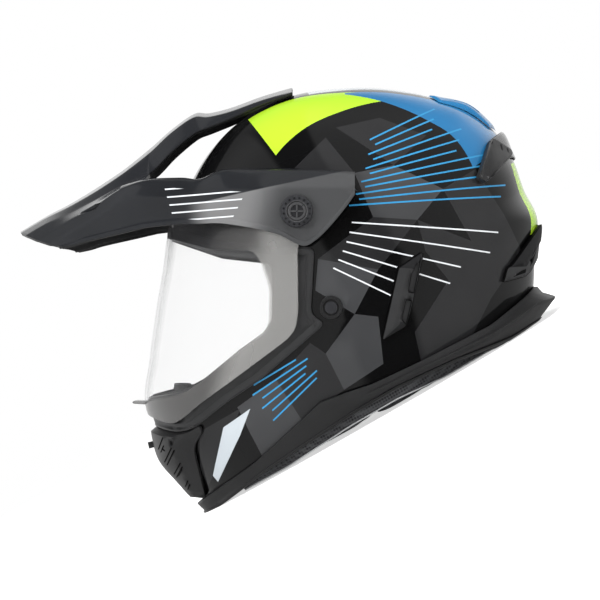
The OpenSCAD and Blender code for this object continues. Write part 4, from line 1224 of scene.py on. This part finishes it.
plate("rear_outlet", "helmet", "shell_gloss", "rear_spoiler", [FACET_LOW, TRIM_DARK],
      insets(SPOILER_EDGE, 0.8, 1.9) + insets(SPOILER_PANEL, 0.7), within(SPOILER_EDGE),
      spoiler_height, level(SEAT_GAP), spacing=0.02, paint=painter([(SPOILER_PANEL, 1)]), wall=1)

LOWER_EDGE = rounded(LOWER_OUT, 1.2)
# Its dark upper band, and two slots in the paler part below, sunk and painted near-black as shade
LOWER_BAND = [(155, -43), (160, -36), (186, -8), (212, -2), (214, -19.5), (191, -21.5), (177.3, -40.9),
              (164.5, -41.8)]
LOWER_SLOTS = [[(187.4, -27.0), (181.4, -36), (180.6, -41.0), (183.2, -37.5)],
               [(176.8, -42.6), (176.6, -45.6), (165, -49.6), (171, -46.0)]]


def lower_height(x, z):
    """The lower outlet's outside: a full band, a lower field and the sunk slots."""
    edge = rolled(distance(x, z, LOWER_EDGE), 0.9, 0.8)
    off = SEAT_GAP + 1.7 + 0.8 * field(x, z, LOWER_BAND, 0.7) - edge
    return off - sum(field(x, z, slot, 0.4) for slot in LOWER_SLOTS)


# The upper band takes the darker rubber; the slots and a thin line round the edge take painted shade
def lower_tone_and_shade(x, z):
    index = painter([(LOWER_BAND, 1)] + [(slot, 2) for slot in LOWER_SLOTS])(x, z)
    index[distance(x, z, LOWER_EDGE) < 0.4] = 2
    return index


plate("rear_lower_outlet", "helmet", "trim_matte", "rear_lower_vent", [TRIM, RUBBER, PAINTED_SHADE],
      insets(LOWER_EDGE, 0.4, 0.9) + insets(LOWER_BAND, 0.7) + LOWER_SLOTS, within(LOWER_EDGE),
      lower_height, level(SEAT_GAP), spacing=0.02, paint=lower_tone_and_shade, wall=2)

VENT_EDGE = rounded(SIDE_VENT, 1.5)
# A hood that rises from its front edge to a crease, with two sunk panels behind a rib
VENT_PANELS = [[(93.4, -34.6), (86.2, -47.4), (83.7, -61.0), (88.0, -61.6)],
               [(82.2, -66.3), (86.6, -66.8), (82.4, -85.6), (78.9, -81.6)]]
VENT_CREASE = [(93.6, -32.6), (86.2, -43.2), (77.5, -84.6), (81.6, -86.6)]
VENT_FOLDS = [[(76.8, -42.4), (86.2, -43.2)], [(77.5, -84.6), (65.6, -96.6)]]
VENT_LOW = 1.3
VENT_SLOPES = [((77, -42.6), (65, -96), 0.32), ((94, -31), (77, -42.6), 0.52),
               ((66, -97.3), (82.6, -87.4), 0.6)]


def vent_rises(x, z):
    return [slope * from_line(x, z, a, b) for a, b, slope in VENT_SLOPES]


def vent_height(x, z):
    """The side vent's outside: three slopes up to a crease, and the two sunk panels."""
    rise = np.minimum(SIDE_VENT_T - VENT_LOW, np.min(vent_rises(x, z), axis=0))
    rounding = np.clip(1 - distance(x, z, VENT_EDGE) / 0.5, 0, 1)
    off = VENT_LOW + rise - 0.4 * rounding ** 2
    for panel in VENT_PANELS:
        off = off + (VENT_LOW - off) * field(x, z, panel, 0.7)
    return off


def vent_painted_shade(x, z):
    """Bare trim, with painted shade: the darker rubber on the folds above and below the crease, and
    near-black in the gaps round the edge and the panels.
    """
    front, upper, lower = vent_rises(x, z)
    index = np.where(np.minimum(upper, lower) < front, 1, 0)
    index[distance(x, z, VENT_EDGE) < 0.5] = 2
    for panel in VENT_PANELS:
        held = inside(x, z, panel)
        index[held] = 0
        index[held & (distance(x, z, panel) < 0.7)] = 2
    return index


for side in ("left", "right"):
    plate("side_outlet_" + side, "helmet", "trim_matte", "side_vent_" + side, [TRIM, RUBBER, PAINTED_SHADE],
          insets(VENT_EDGE, 0.5) + VENT_PANELS + [inset(panel, 0.7) for panel in VENT_PANELS],
          within(VENT_EDGE), vent_height, level(SEAT_GAP), spacing=0.012, side=side,
          paint=vent_painted_shade, wall=2, open_lines=[VENT_CREASE] + VENT_FOLDS)

# Lift tab at the lower front of the shield
TAB_Z = -149.0
tab_x = on_skin(180, [(-400, TAB_Z), (400, TAB_Z)], SHIELD_SEAT + SHIELD_T)[0]
TAB = [(tab_x + dx, TAB_Z + dz) for dx, dz in (
    (1.6, 1.3), (-6, 1.5), (-9, 1.1), (-9.6, 0.2), (-8.5, -0.8), (1.6, -1.4))]
tab = walls("shield_tab", [TAB], -12, 12)
tab.data.materials.append(BORDER)
placed(soften(tab, 0.0009, 30, 3), "shield", "clear_shield", "face_shield")


# Screws and plugs: turned pieces on the sides
def beside(at, depth, sign):
    """Takes local points, whose third axis runs outwards, to one side: sign is 1 on the right."""
    def place(points):
        p = np.asarray(points, dtype=float)
        return stand(np.stack([at[0] + p[:, 0], sign * (depth + p[:, 2]), at[1] + p[:, 1]], axis=-1))
    return place


def turned(name, profile, place, materials, steps, first):
    """A body of revolution from (radius, height) pairs, with the second material from a step on."""
    verts = [(x, y, h) for a in range(steps) for r, h in profile
             for x, y in spin([(r, 0.0)], 2 * math.pi * a / steps)]
    mats = [1 if k >= first else 0 for k in range(len(profile) - 1)] * steps
    faces = net(steps, len(profile), round_rows=True)
    return fix_normals(new_object(name, place(verts), faces, materials, mats))


def dots(radius, count, r, n):
    """Outlines of equal round holes on a circle."""
    turns = [2 * math.pi * (i + 0.5) / count for i in range(count)]
    return [circle(r, n, radius * math.cos(a), radius * math.sin(a)) for a in turns]


def pockets(r, gap, n=8):
    """Outlines of four quarter discs, which leave a cross standing between them."""
    a0 = math.asin(gap / r)
    arc = [(r * math.cos(a), r * math.sin(a)) for a in np.linspace(a0, math.pi / 2 - a0, n)]
    return [spin([(gap, gap)] + arc, quarter * math.pi / 2) for quarter in range(4)]


def bar(half_x, half_y, angle):
    """The outline of a slot across a turned piece."""
    corners = [(-half_x, -half_y), (half_x, -half_y), (half_x, half_y), (-half_x, half_y)]
    return [spin(corners, math.radians(angle))]


SCREW_R = 4.0
HEAD_R = 12.4
HEAD_IN = WING_OUT + 0.3
HEAD_OUT = HEAD_IN + 5.5
SCREW_END = float(side_y(-6, 6)) - SHELL_T - 3.4 - 4
HEAD = [(0.01, SCREW_END), (3.4, SCREW_END), (SCREW_R, SCREW_END + 0.6), (SCREW_R, HEAD_IN),
        (HEAD_R - 0.3, HEAD_IN), (HEAD_R, HEAD_IN + 0.3), (HEAD_R, HEAD_IN + 2.2),
        (HEAD_R - 0.4, HEAD_IN + 3.7)] + [(r, HEAD_OUT - drop) for r, drop in (
            (11.6, 0.9), (11.0, 0.45), (8.7, 0.1), (8.3, 0), (7.8, 0.2), (7.6, 1.5), (7.2, 1.7),
            (6.9, 1.1), (6.6, 0.9), (5.6, 0.8), (5.4, 1.1), (5.0, 1.1), (4.8, 0.8), (0.01, 0.7))]
HEAD_CUTS = [(dots(10.0, 16, 0.8, 10), 1.6), (pockets(4.9, 0.55), 2.0), (bar(6.4, 0.3, 45), 1.3)]
PLUG = [(0.01, -9), (3.4, -9), (3.9, -8.4), (3.9, -0.6)] + [(PLUG_R - less, h) for less, h in (
    (0.2, -0.6), (0, -0.4), (0, 1.2), (0.25, 2.0), (0.8, 2.5), (2.3, 2.6), (2.7, 2.4), (3.0, 1.5),
    (3.7, 1.4), (4.0, 2.3), (4.3, 2.9), (4.8, 3.1))] + [(2, 3.35), (0.01, 3.4)]
for side, sign in (("left", -1), ("right", 1)):
    place = beside((0, 0), 0, sign)
    # The head's centre, from the eleventh step of its profile on, takes the painted highlight
    screw = turned("peak_knob_" + side, HEAD, place, [SCREW, SCREW_PAINTED_HIGHLIGHT], 96, 11)
    cut(screw, [walls("cut", cuts, HEAD_OUT - deep, HEAD_OUT + 1, place) for cuts, deep in HEAD_CUTS])
    placed(screw, "helmet", "screw_black", "peak_screw_" + side, angle=35)
    place = beside(PLUG_AT, float(side_y(*PLUG_AT)) + 1.2, sign)
    plug = turned("cheek_plug_" + side, PLUG, place, [TRIM_DARK, SCREW], 72, 14)
    cut(plug, [walls("dots", dots(PLUG_R - 1.5, 16, 0.42, 8), 1.9, 3.6, place)])
    placed(plug, "helmet", "trim_matte", "side_plug_" + side, angle=35)


# Crown vents: a smooth raised pod each, with a slot, over the blue of the shell
def roof(x, y, off):
    """Height of the skin, grown by off, over points of the top view."""
    return halve(np.full(np.shape(x), 0.0), np.full(np.shape(x), 200.0),
                 lambda z: skin_level(x, y, z, off) < 1, 36)


POD_T = 4.5
POD = np.array([(104, 22), (112, 40), (158, 18), (152, 36)], dtype=float).reshape(2, 2, 2)
POD_ACROSS = 26
POD_ALONG = 44


def pod(side, sign):
    """A grid over the pod's top-view outline, closed by a lower grid on the shell."""
    s, t = np.meshgrid(np.linspace(0, 1, POD_ACROSS), np.linspace(0, 1, POD_ALONG), indexing="ij")
    front, back = [POD[k, 0] * (1 - s)[..., None] + POD[k, 1] * s[..., None] for k in (0, 1)]
    x, y = np.moveaxis(front * (1 - t)[..., None] + back * t[..., None], -1, 0)
    edge = np.minimum(np.minimum(s, 1 - s) * 18, np.minimum(t, 1 - t) * 46)
    rounding = 1 - rolled(edge, 3.0, 1.0)
    rise = 0.45 + 0.55 * smooth(t / 0.55)
    crest = 1 - 0.25 * smooth(np.abs(s - 0.42) / 0.6)
    falling = 1 - 0.55 * smooth((t - 0.55) / 0.45)
    height = SEAT_GAP + POD_T * rounding * rise * crest * falling * 0.98 + 0.02
    height -= 0.5 * np.exp(-((s - 0.12 - 0.2 * t) / 0.05) ** 2) * rounding
    top, low = [np.stack([x, sign * y, roof(x, y, off)], axis=-1) for off in (height, SEAT_GAP)]
    verts, faces = walled(top, low)
    obj = fix_normals(new_object("crown_pod_" + side, stand(verts), faces, [BLUE, TRIM_DARK]))
    cut(obj, [walls("slot", [[(124, 20), (144, 20), (144, 200), (124, 200)]],
                    *sorted((24.5 * sign, 31.5 * sign)))])
    placed(soften(obj, 0.0004, 50), "helmet", "vent_blue", "crown_vent_" + side, angle=50)


pod("left", -1)
pod("right", 1)


# Pieces whose CAD shape stays, with their materials
def dress(mesh, look_of_it):
    mesh.materials.clear()
    mesh.materials.append(look_of_it)
    mesh.polygons.foreach_set("material_index", [0] * len(mesh.polygons))
    return mesh


KEPT = {
    "eyeport_gasket": RUBBER, "breath_deflector": RUBBER, "chin_vent_shutter": TRIM,
    "pivot_plate_left": HUB, "pivot_plate_right": HUB, "peak_nut_left": STEEL, "peak_nut_right": STEEL,
    "eps_liner": FOAM, "eps_chin": FOAM, "eps_cheek_left": FOAM, "eps_cheek_right": FOAM,
    "strap_rivets": STEEL, "d_ring_outer": STEEL, "d_ring_inner": STEEL, "strap_snap": STEEL,
}
for node, kept_material in KEPT.items():
    data = dress(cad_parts[node].data, kept_material)
    data.polygons.foreach_set("use_smooth", [True] * len(data.polygons))
    data.set_sharp_from_angle(angle=math.radians(35))


# Soft goods: cloth, padding, seams and webbing
def depth_in_skin(p):
    """How far worn-frame points lie inside the skin, as an offset from -80 to 20."""
    x, y, z = p.T
    return halve(np.full(len(p), -80.0), np.full(len(p), 20.0),
                 lambda off: skin_level(x, y, z, off) > 1, 22)


def points_of(mesh, key="co"):
    co = np.zeros(len(mesh.vertices) * 3)
    mesh.vertices.foreach_get(key, co)
    return co.reshape(-1, 3)


def put_points(mesh, co):
    mesh.vertices.foreach_set("co", np.asarray(co, dtype=np.float64).ravel())
    mesh.update()


def smoothed(mesh, co, times, share=0.5):
    """Points moved towards the mean of their neighbours."""
    edges = np.zeros(len(mesh.edges) * 2, dtype=np.int64)
    mesh.edges.foreach_get("vertices", edges)
    a, b = edges.reshape(-1, 2).T
    count = np.bincount(np.r_[a, b], minlength=len(co))[:, None]
    for _ in range(times):
        total = np.zeros_like(co)
        np.add.at(total, a, co[b])
        np.add.at(total, b, co[a])
        co = co * (1 - share) + total / np.maximum(count, 1) * share
    return co


SWELL_FRAMES = 20


def swollen(obj, back, pressure):
    """Points of a pad after a short cloth simulation, with its back held."""
    group = obj.vertex_groups.new(name="held")
    group.add([int(i) for i in np.nonzero(back)[0]], 1.0, "REPLACE")
    sim = modifier(obj, "CLOTH")
    sim.settings.quality = 4
    sim.settings.mass = 0.2
    sim.settings.use_pressure = True
    sim.settings.uniform_pressure_force = pressure
    sim.settings.vertex_group_mass = "held"
    sim.settings.tension_stiffness = 12
    sim.settings.compression_stiffness = 12
    sim.settings.effector_weights.gravity = 0
    sim.collision_settings.use_collision = False
    sim.collision_settings.use_self_collision = False
    for number in range(1, SWELL_FRAMES + 1):
        bpy.context.scene.frame_set(number)
    mesh = evaluated(obj)
    moved = points_of(mesh)
    bpy.data.meshes.remove(mesh)
    obj.modifiers.clear()
    bpy.context.scene.frame_set(1)
    return moved


TABLE_GAP = 0.0008


def padded_piece(name, node, slot_name, cover, voxel, pressure, cap, start, channel=None, deep=2.6,
                 held=6.0, tidy=3):
    """A pad that swells away from the foam behind it, then gets its sewn channels."""
    obj = linked(name, dress(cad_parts[node].data.copy(), cover))
    modifier(obj, "REMESH", mode="VOXEL", voxel_size=voxel)
    applied(obj)
    rest = smoothed(obj.data, points_of(obj.data), tidy)
    put_points(obj.data, rest)
    behind = depth_in_skin(unstand(rest))
    back = behind > behind.max() - held
    inward = np.where(back[:, None], 0.3, 1.0) * points_of(obj.data, "normal") * start
    put_points(obj.data, rest - inward)
    step = swollen(obj, back, pressure) - rest
    size = np.linalg.norm(step, axis=1)[:, None]
    put_points(obj.data, rest + step * np.minimum(1, cap / np.maximum(size, 1e-9)))
    modifier(obj, "SUBSURF", levels=1, render_levels=1)
    applied(obj)
    if channel:
        co = points_of(obj.data)
        p = unstand(co)
        front = 1 - smooth((depth_in_skin(p) - behind.max() + held + 2) / 4)
        push = 0.001 * deep * np.exp(-(channel(p) / 2.3) ** 2) * front
        put_points(obj.data, co - points_of(obj.data, "normal") * push[:, None])
    put_points(obj.data, raised_to(points_of(obj.data), TABLE_GAP))
    obj.data.polygons.foreach_set("use_smooth", [True] * len(obj.data.polygons))
    placed(obj, "helmet", slot_name, node)
    return obj


def tube(points, r, sides):
    """Verts and faces of a round tube along points."""
    p = np.asarray(points, dtype=float)
    ahead = np.roll(p, -1, axis=0) - np.roll(p, 1, axis=0)
    ahead[0], ahead[-1] = p[1] - p[0], p[-1] - p[-2]
    up = np.array([0.31, 0.17, 0.93])
    verts = []
    for q, d in zip(p, unit(ahead)):
        a = unit(np.cross(d, up), 1e-9)
        b = np.cross(d, a)
        verts += [q + c * a + s * b for c, s in circle(r, sides)]
        up = -b if np.linalg.norm(b) > 0.5 else up
    return verts, net(len(p), sides, round_cols=True) + end_faces(len(p), sides)


def tubes(name, lines_m, r, cover, slot_name, *nodes, sides=6):
    """One object of several tubes, from lines in metres."""
    verts, faces = [], []
    for line in lines_m:
        v, f = tube(line, r, sides)
        faces += [tuple(k + len(verts) for k in face) for face in f]
        verts += v
    return placed(fix_normals(new_object(name, verts, faces, [cover])), "helmet", slot_name, *nodes)


def on_side(line, step, sign, offset):
    """A side-view line laid on one side of the skin, in metres."""
    x, z = np.array(sample(line, step, False)).T
    return stand(np.stack([x, sign * side_y(x, z, offset(x, z)), z], axis=-1))


def over_chin(x, z):
    return chin_height(x, z) + 0.05


# Near-black lines over the chin cover stand in for its slots: painted shade
chin_slot_shade_lines = [on_side(line, 1.0, sign, over_chin) for line in CHIN_GROOVES for sign in (-1, 1)]
tubes("chin_slot_painted_shade", chin_slot_shade_lines, 0.00055, PAINTED_SHADE, "trim_matte", "chin_vent")


def laid_on(obj, points, lift):
    """Points moved onto the nearest surface of an object, and lifted off it."""
    out = []
    for q in points:
        ok, near, normal, _ = obj.closest_point_on_mesh(Vector(q))
        out.append(np.array(near + normal * lift) if ok else np.array(q))
    return np.array(out)


def stitches(obj, line, pitch=0.0045, share=0.6):
    """Short stitches over a line on the surface of an object."""
    pts = laid_on(obj, line, 0.0001)
    run = np.r_[0, np.cumsum(np.linalg.norm(np.diff(pts, axis=0), axis=1))]
    return [np.stack([np.interp(start + np.array([0, 0.5, 1.0]) * pitch * share, run, pts[:, k])
                      for k in range(3)], axis=-1) for start in np.arange(0, run[-1] - pitch, pitch)]


def crown_channel(p):
    """Distance from the crown lining's sewn lines: two along it, two across it."""
    x, y, _ = p.T
    return np.min([np.abs(np.abs(y) - 30 - 0.02 * (x - 40)), np.abs(x - 2 + 0.1 * np.abs(y)),
                   np.abs(x - 84 - 0.1 * np.abs(y))], axis=0)


CHEEK_SEAMS = [[(-46, -135), (-20, -128), (8, -118), (36, -112), (58, -112)],
               [(4, -66), (0, -92), (-2, -124)]]


def cheek_channel(p):
    return np.min([distance(p[:, 0], p[:, 2], seam, False) for seam in CHEEK_SEAMS], axis=0)


def roll_channel(p):
    angle = np.abs(np.degrees(np.arctan2(p[:, 1], p[:, 0] - MID_X)))
    return np.minimum(np.abs(angle - 24), np.abs(angle - 58)) * 1.9


crown = padded_piece("crown_cushion", "crown_lining", "lining", KNIT, 0.005, 4.0, 0.003, 0.001,
                     crown_channel)
cheeks = {side: padded_piece("cheek_cushion_" + side, "cheek_pad_" + side, "lining", KNIT, 0.0045,
                             4.0, 0.004, 0.0012, cheek_channel) for side in ("left", "right")}
padded_piece("neck_cushion", "neck_roll", "neck_fabric", NET, 0.0045, 3.0, 0.003, 0.001,
             roll_channel, 2.0)


def under_rim(sign):
    """Sections of a narrow net strip that hangs under the rim, and the line of its lower edge."""
    rings, edge = [], []
    for h in np.arange(24, 146, 2.0):
        clear = float(stand(on_skin(h, RIM, -3.2))[2]) * 1000 / math.cos(TILT)
        drop = min(7.5, max(0.9, clear - 2.6))
        rings.append([on_skin(h, RIM, off, dz) for dz, off in (
            (-0.1, -2.2), (-0.5 * drop, -1.9), (-drop, -2.5), (-drop - 0.4, -3.3), (-drop, -4.2),
            (-0.1, -4.2))])
        edge.append(on_skin(h, RIM, -2.5, -drop - 0.2))
    return np.array(rings) * (1, sign, 1), np.array(edge) * (1, sign, 1)


PIPING_R = 0.00062
PIPING_LOW = 0.0009
for side, sign in (("left", -1), ("right", 1)):
    rings, edge = under_rim(sign)
    shape = rings.shape[:2]
    strip = new_object("neck_binding_" + side, raised_to(stand(rings.reshape(-1, 3)), 0.0),
                       net(*shape, round_cols=True) + end_faces(*shape), [NET])
    placed(fix_normals(strip), "helmet", "neck_fabric", "neck_roll", angle=60)
    tubes("neck_piping_" + side, [raised_to(stand(edge), PIPING_LOW)], PIPING_R, PIPING,
          "neck_fabric", "neck_roll", sides=8)
padded_piece("strap_cushion", "strap_pad", "lining", KNIT, 0.0016, 3.0, 0.001, 0.0003,
             held=-1, tidy=1)

sewn = []
for side, sign in (("left", -1), ("right", 1)):
    for seam in CHEEK_SEAMS:
        for shift in (-2.4, 2.4):
            line = on_side(raised(seam, shift), 2.0, sign, level(PAD_OUT - 18))
            sewn += stitches(cheeks[side], line)
for y in (-30.0, 30.0):
    xs = np.arange(-20, 150, 2.0)
    ys = np.full(len(xs), y)
    arc = stand(np.stack([xs, ys, roof(xs, ys, PAD_OUT - 9)], axis=-1))
    for shift in (-0.0024, 0.0024):
        sewn += stitches(crown, arc + np.array([0, shift, 0]))
tubes("lining_stitches", sewn, 0.00032, THREAD, "lining")

# Chin strap: woven ribbons with rounded edges
STRAP_X = -58.4115 + STAND_X
STRAP_W = 22.0
STRAP_T = 2.0
STRAP_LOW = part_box("d_ring_outer")[1].z * 1000 - 1.8
STRAP_Z = STRAP_LOW + 7.5
ROOT_Y = -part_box("strap_left")[0].y * 1000 - STRAP_T / 2
LEFT_ROUTE = [(-ROOT_Y, STRAP_Z + 7), (-ROOT_Y, STRAP_Z - 5), (2.5 - ROOT_Y, STRAP_Z - 7.3),
              (-90, STRAP_LOW), (-60, STRAP_LOW), (-50, STRAP_Z - 9.5), (-40, STRAP_Z - 14.5),
              (-28, STRAP_Z - 18.8), (-14, STRAP_Z - 21.5), (0, STRAP_Z - 22), (12, STRAP_Z - 20)]
BAR_Y = 38.0
BAR_STEP = 4.1
LOOP_IN = 2.05
RIGHT_ROUTE = [(BAR_Y + LOOP_IN + 0.6, STRAP_LOW), (60, STRAP_LOW), (90, STRAP_LOW),
               (ROOT_Y - 2.5, STRAP_Z - 7.3), (ROOT_Y, STRAP_Z - 5), (ROOT_Y, STRAP_Z + 7)]


def ribbon(name, route, node, closed=False):
    """A woven ribbon along a route of the y-z plane, with rounded selvedges and raised edge cords."""
    line = np.array(route, dtype=float) if closed else curve(route, 8)
    ahead = np.gradient(line, axis=0)
    if closed:
        ahead = np.roll(line, -1, axis=0) - np.roll(line, 1, axis=0)
    half, t = STRAP_W / 2, STRAP_T / 2
    upper = [(half, 0), (half - 0.25, 0.6 * t), (half - 0.9, t), (half - 1.7, t),
             (half - 2.2, 0.86 * t)]
    section = [(-x, h) for x, h in upper] + [(0, 0.9 * t)] + upper[::-1]
    section = section + [(x, -h) for x, h in section[-2:0:-1]]
    verts = [(STRAP_X + x, q[0] + s[0] * h, q[1] + s[1] * h)
             for q, s in zip(line, across(unit(ahead))) for x, h in section]
    faces = net(len(line), len(section), round_rows=closed, round_cols=True)
    if not closed:
        faces += end_faces(len(line), len(section))
    obj = new_object(name, np.array(verts) * 0.001, faces, [WEAVE])
    return placed(fix_normals(obj), "helmet", "webbing", node, angle=60)


left_strap = ribbon("webbing_left", LEFT_ROUTE, "strap_left")
right_strap = ribbon("webbing_right", RIGHT_ROUTE, "strap_right")
LOOP_R = LOOP_IN + STRAP_T / 2
loop = []
for centre, start in ((BAR_Y, -90), (BAR_Y - BAR_STEP, 90)):
    for angle in np.arange(start, start + 181, 15):
        c, s = on_rim(angle)
        loop.append((centre + LOOP_R * c, STRAP_LOW + LOOP_R * s))
ribbon("webbing_loop", loop, "strap_right", closed=True)


def box_stitch(strap, y0, y1, half=8.0):
    """Stitches round a sewn box on a strap's level stretch and over its cross."""
    corners = [(-half, y0), (half, y0), (half, y1), (-half, y1), (-half, y0), (half, y1)]
    out = []
    for line in (corners, [(-half, y1), (half, y0)]):
        laid = [(STRAP_X + x, y, STRAP_LOW - 1.2) for x, y in sample(line, 1.0, False)]
        out += stitches(strap, np.array(laid) * 0.001, 0.003)
    return out


strap_sewn = box_stitch(right_strap, 48, 62) + box_stitch(left_strap, -84, -68)
tubes("strap_stitches", strap_sewn, 0.0003, THREAD, "webbing")
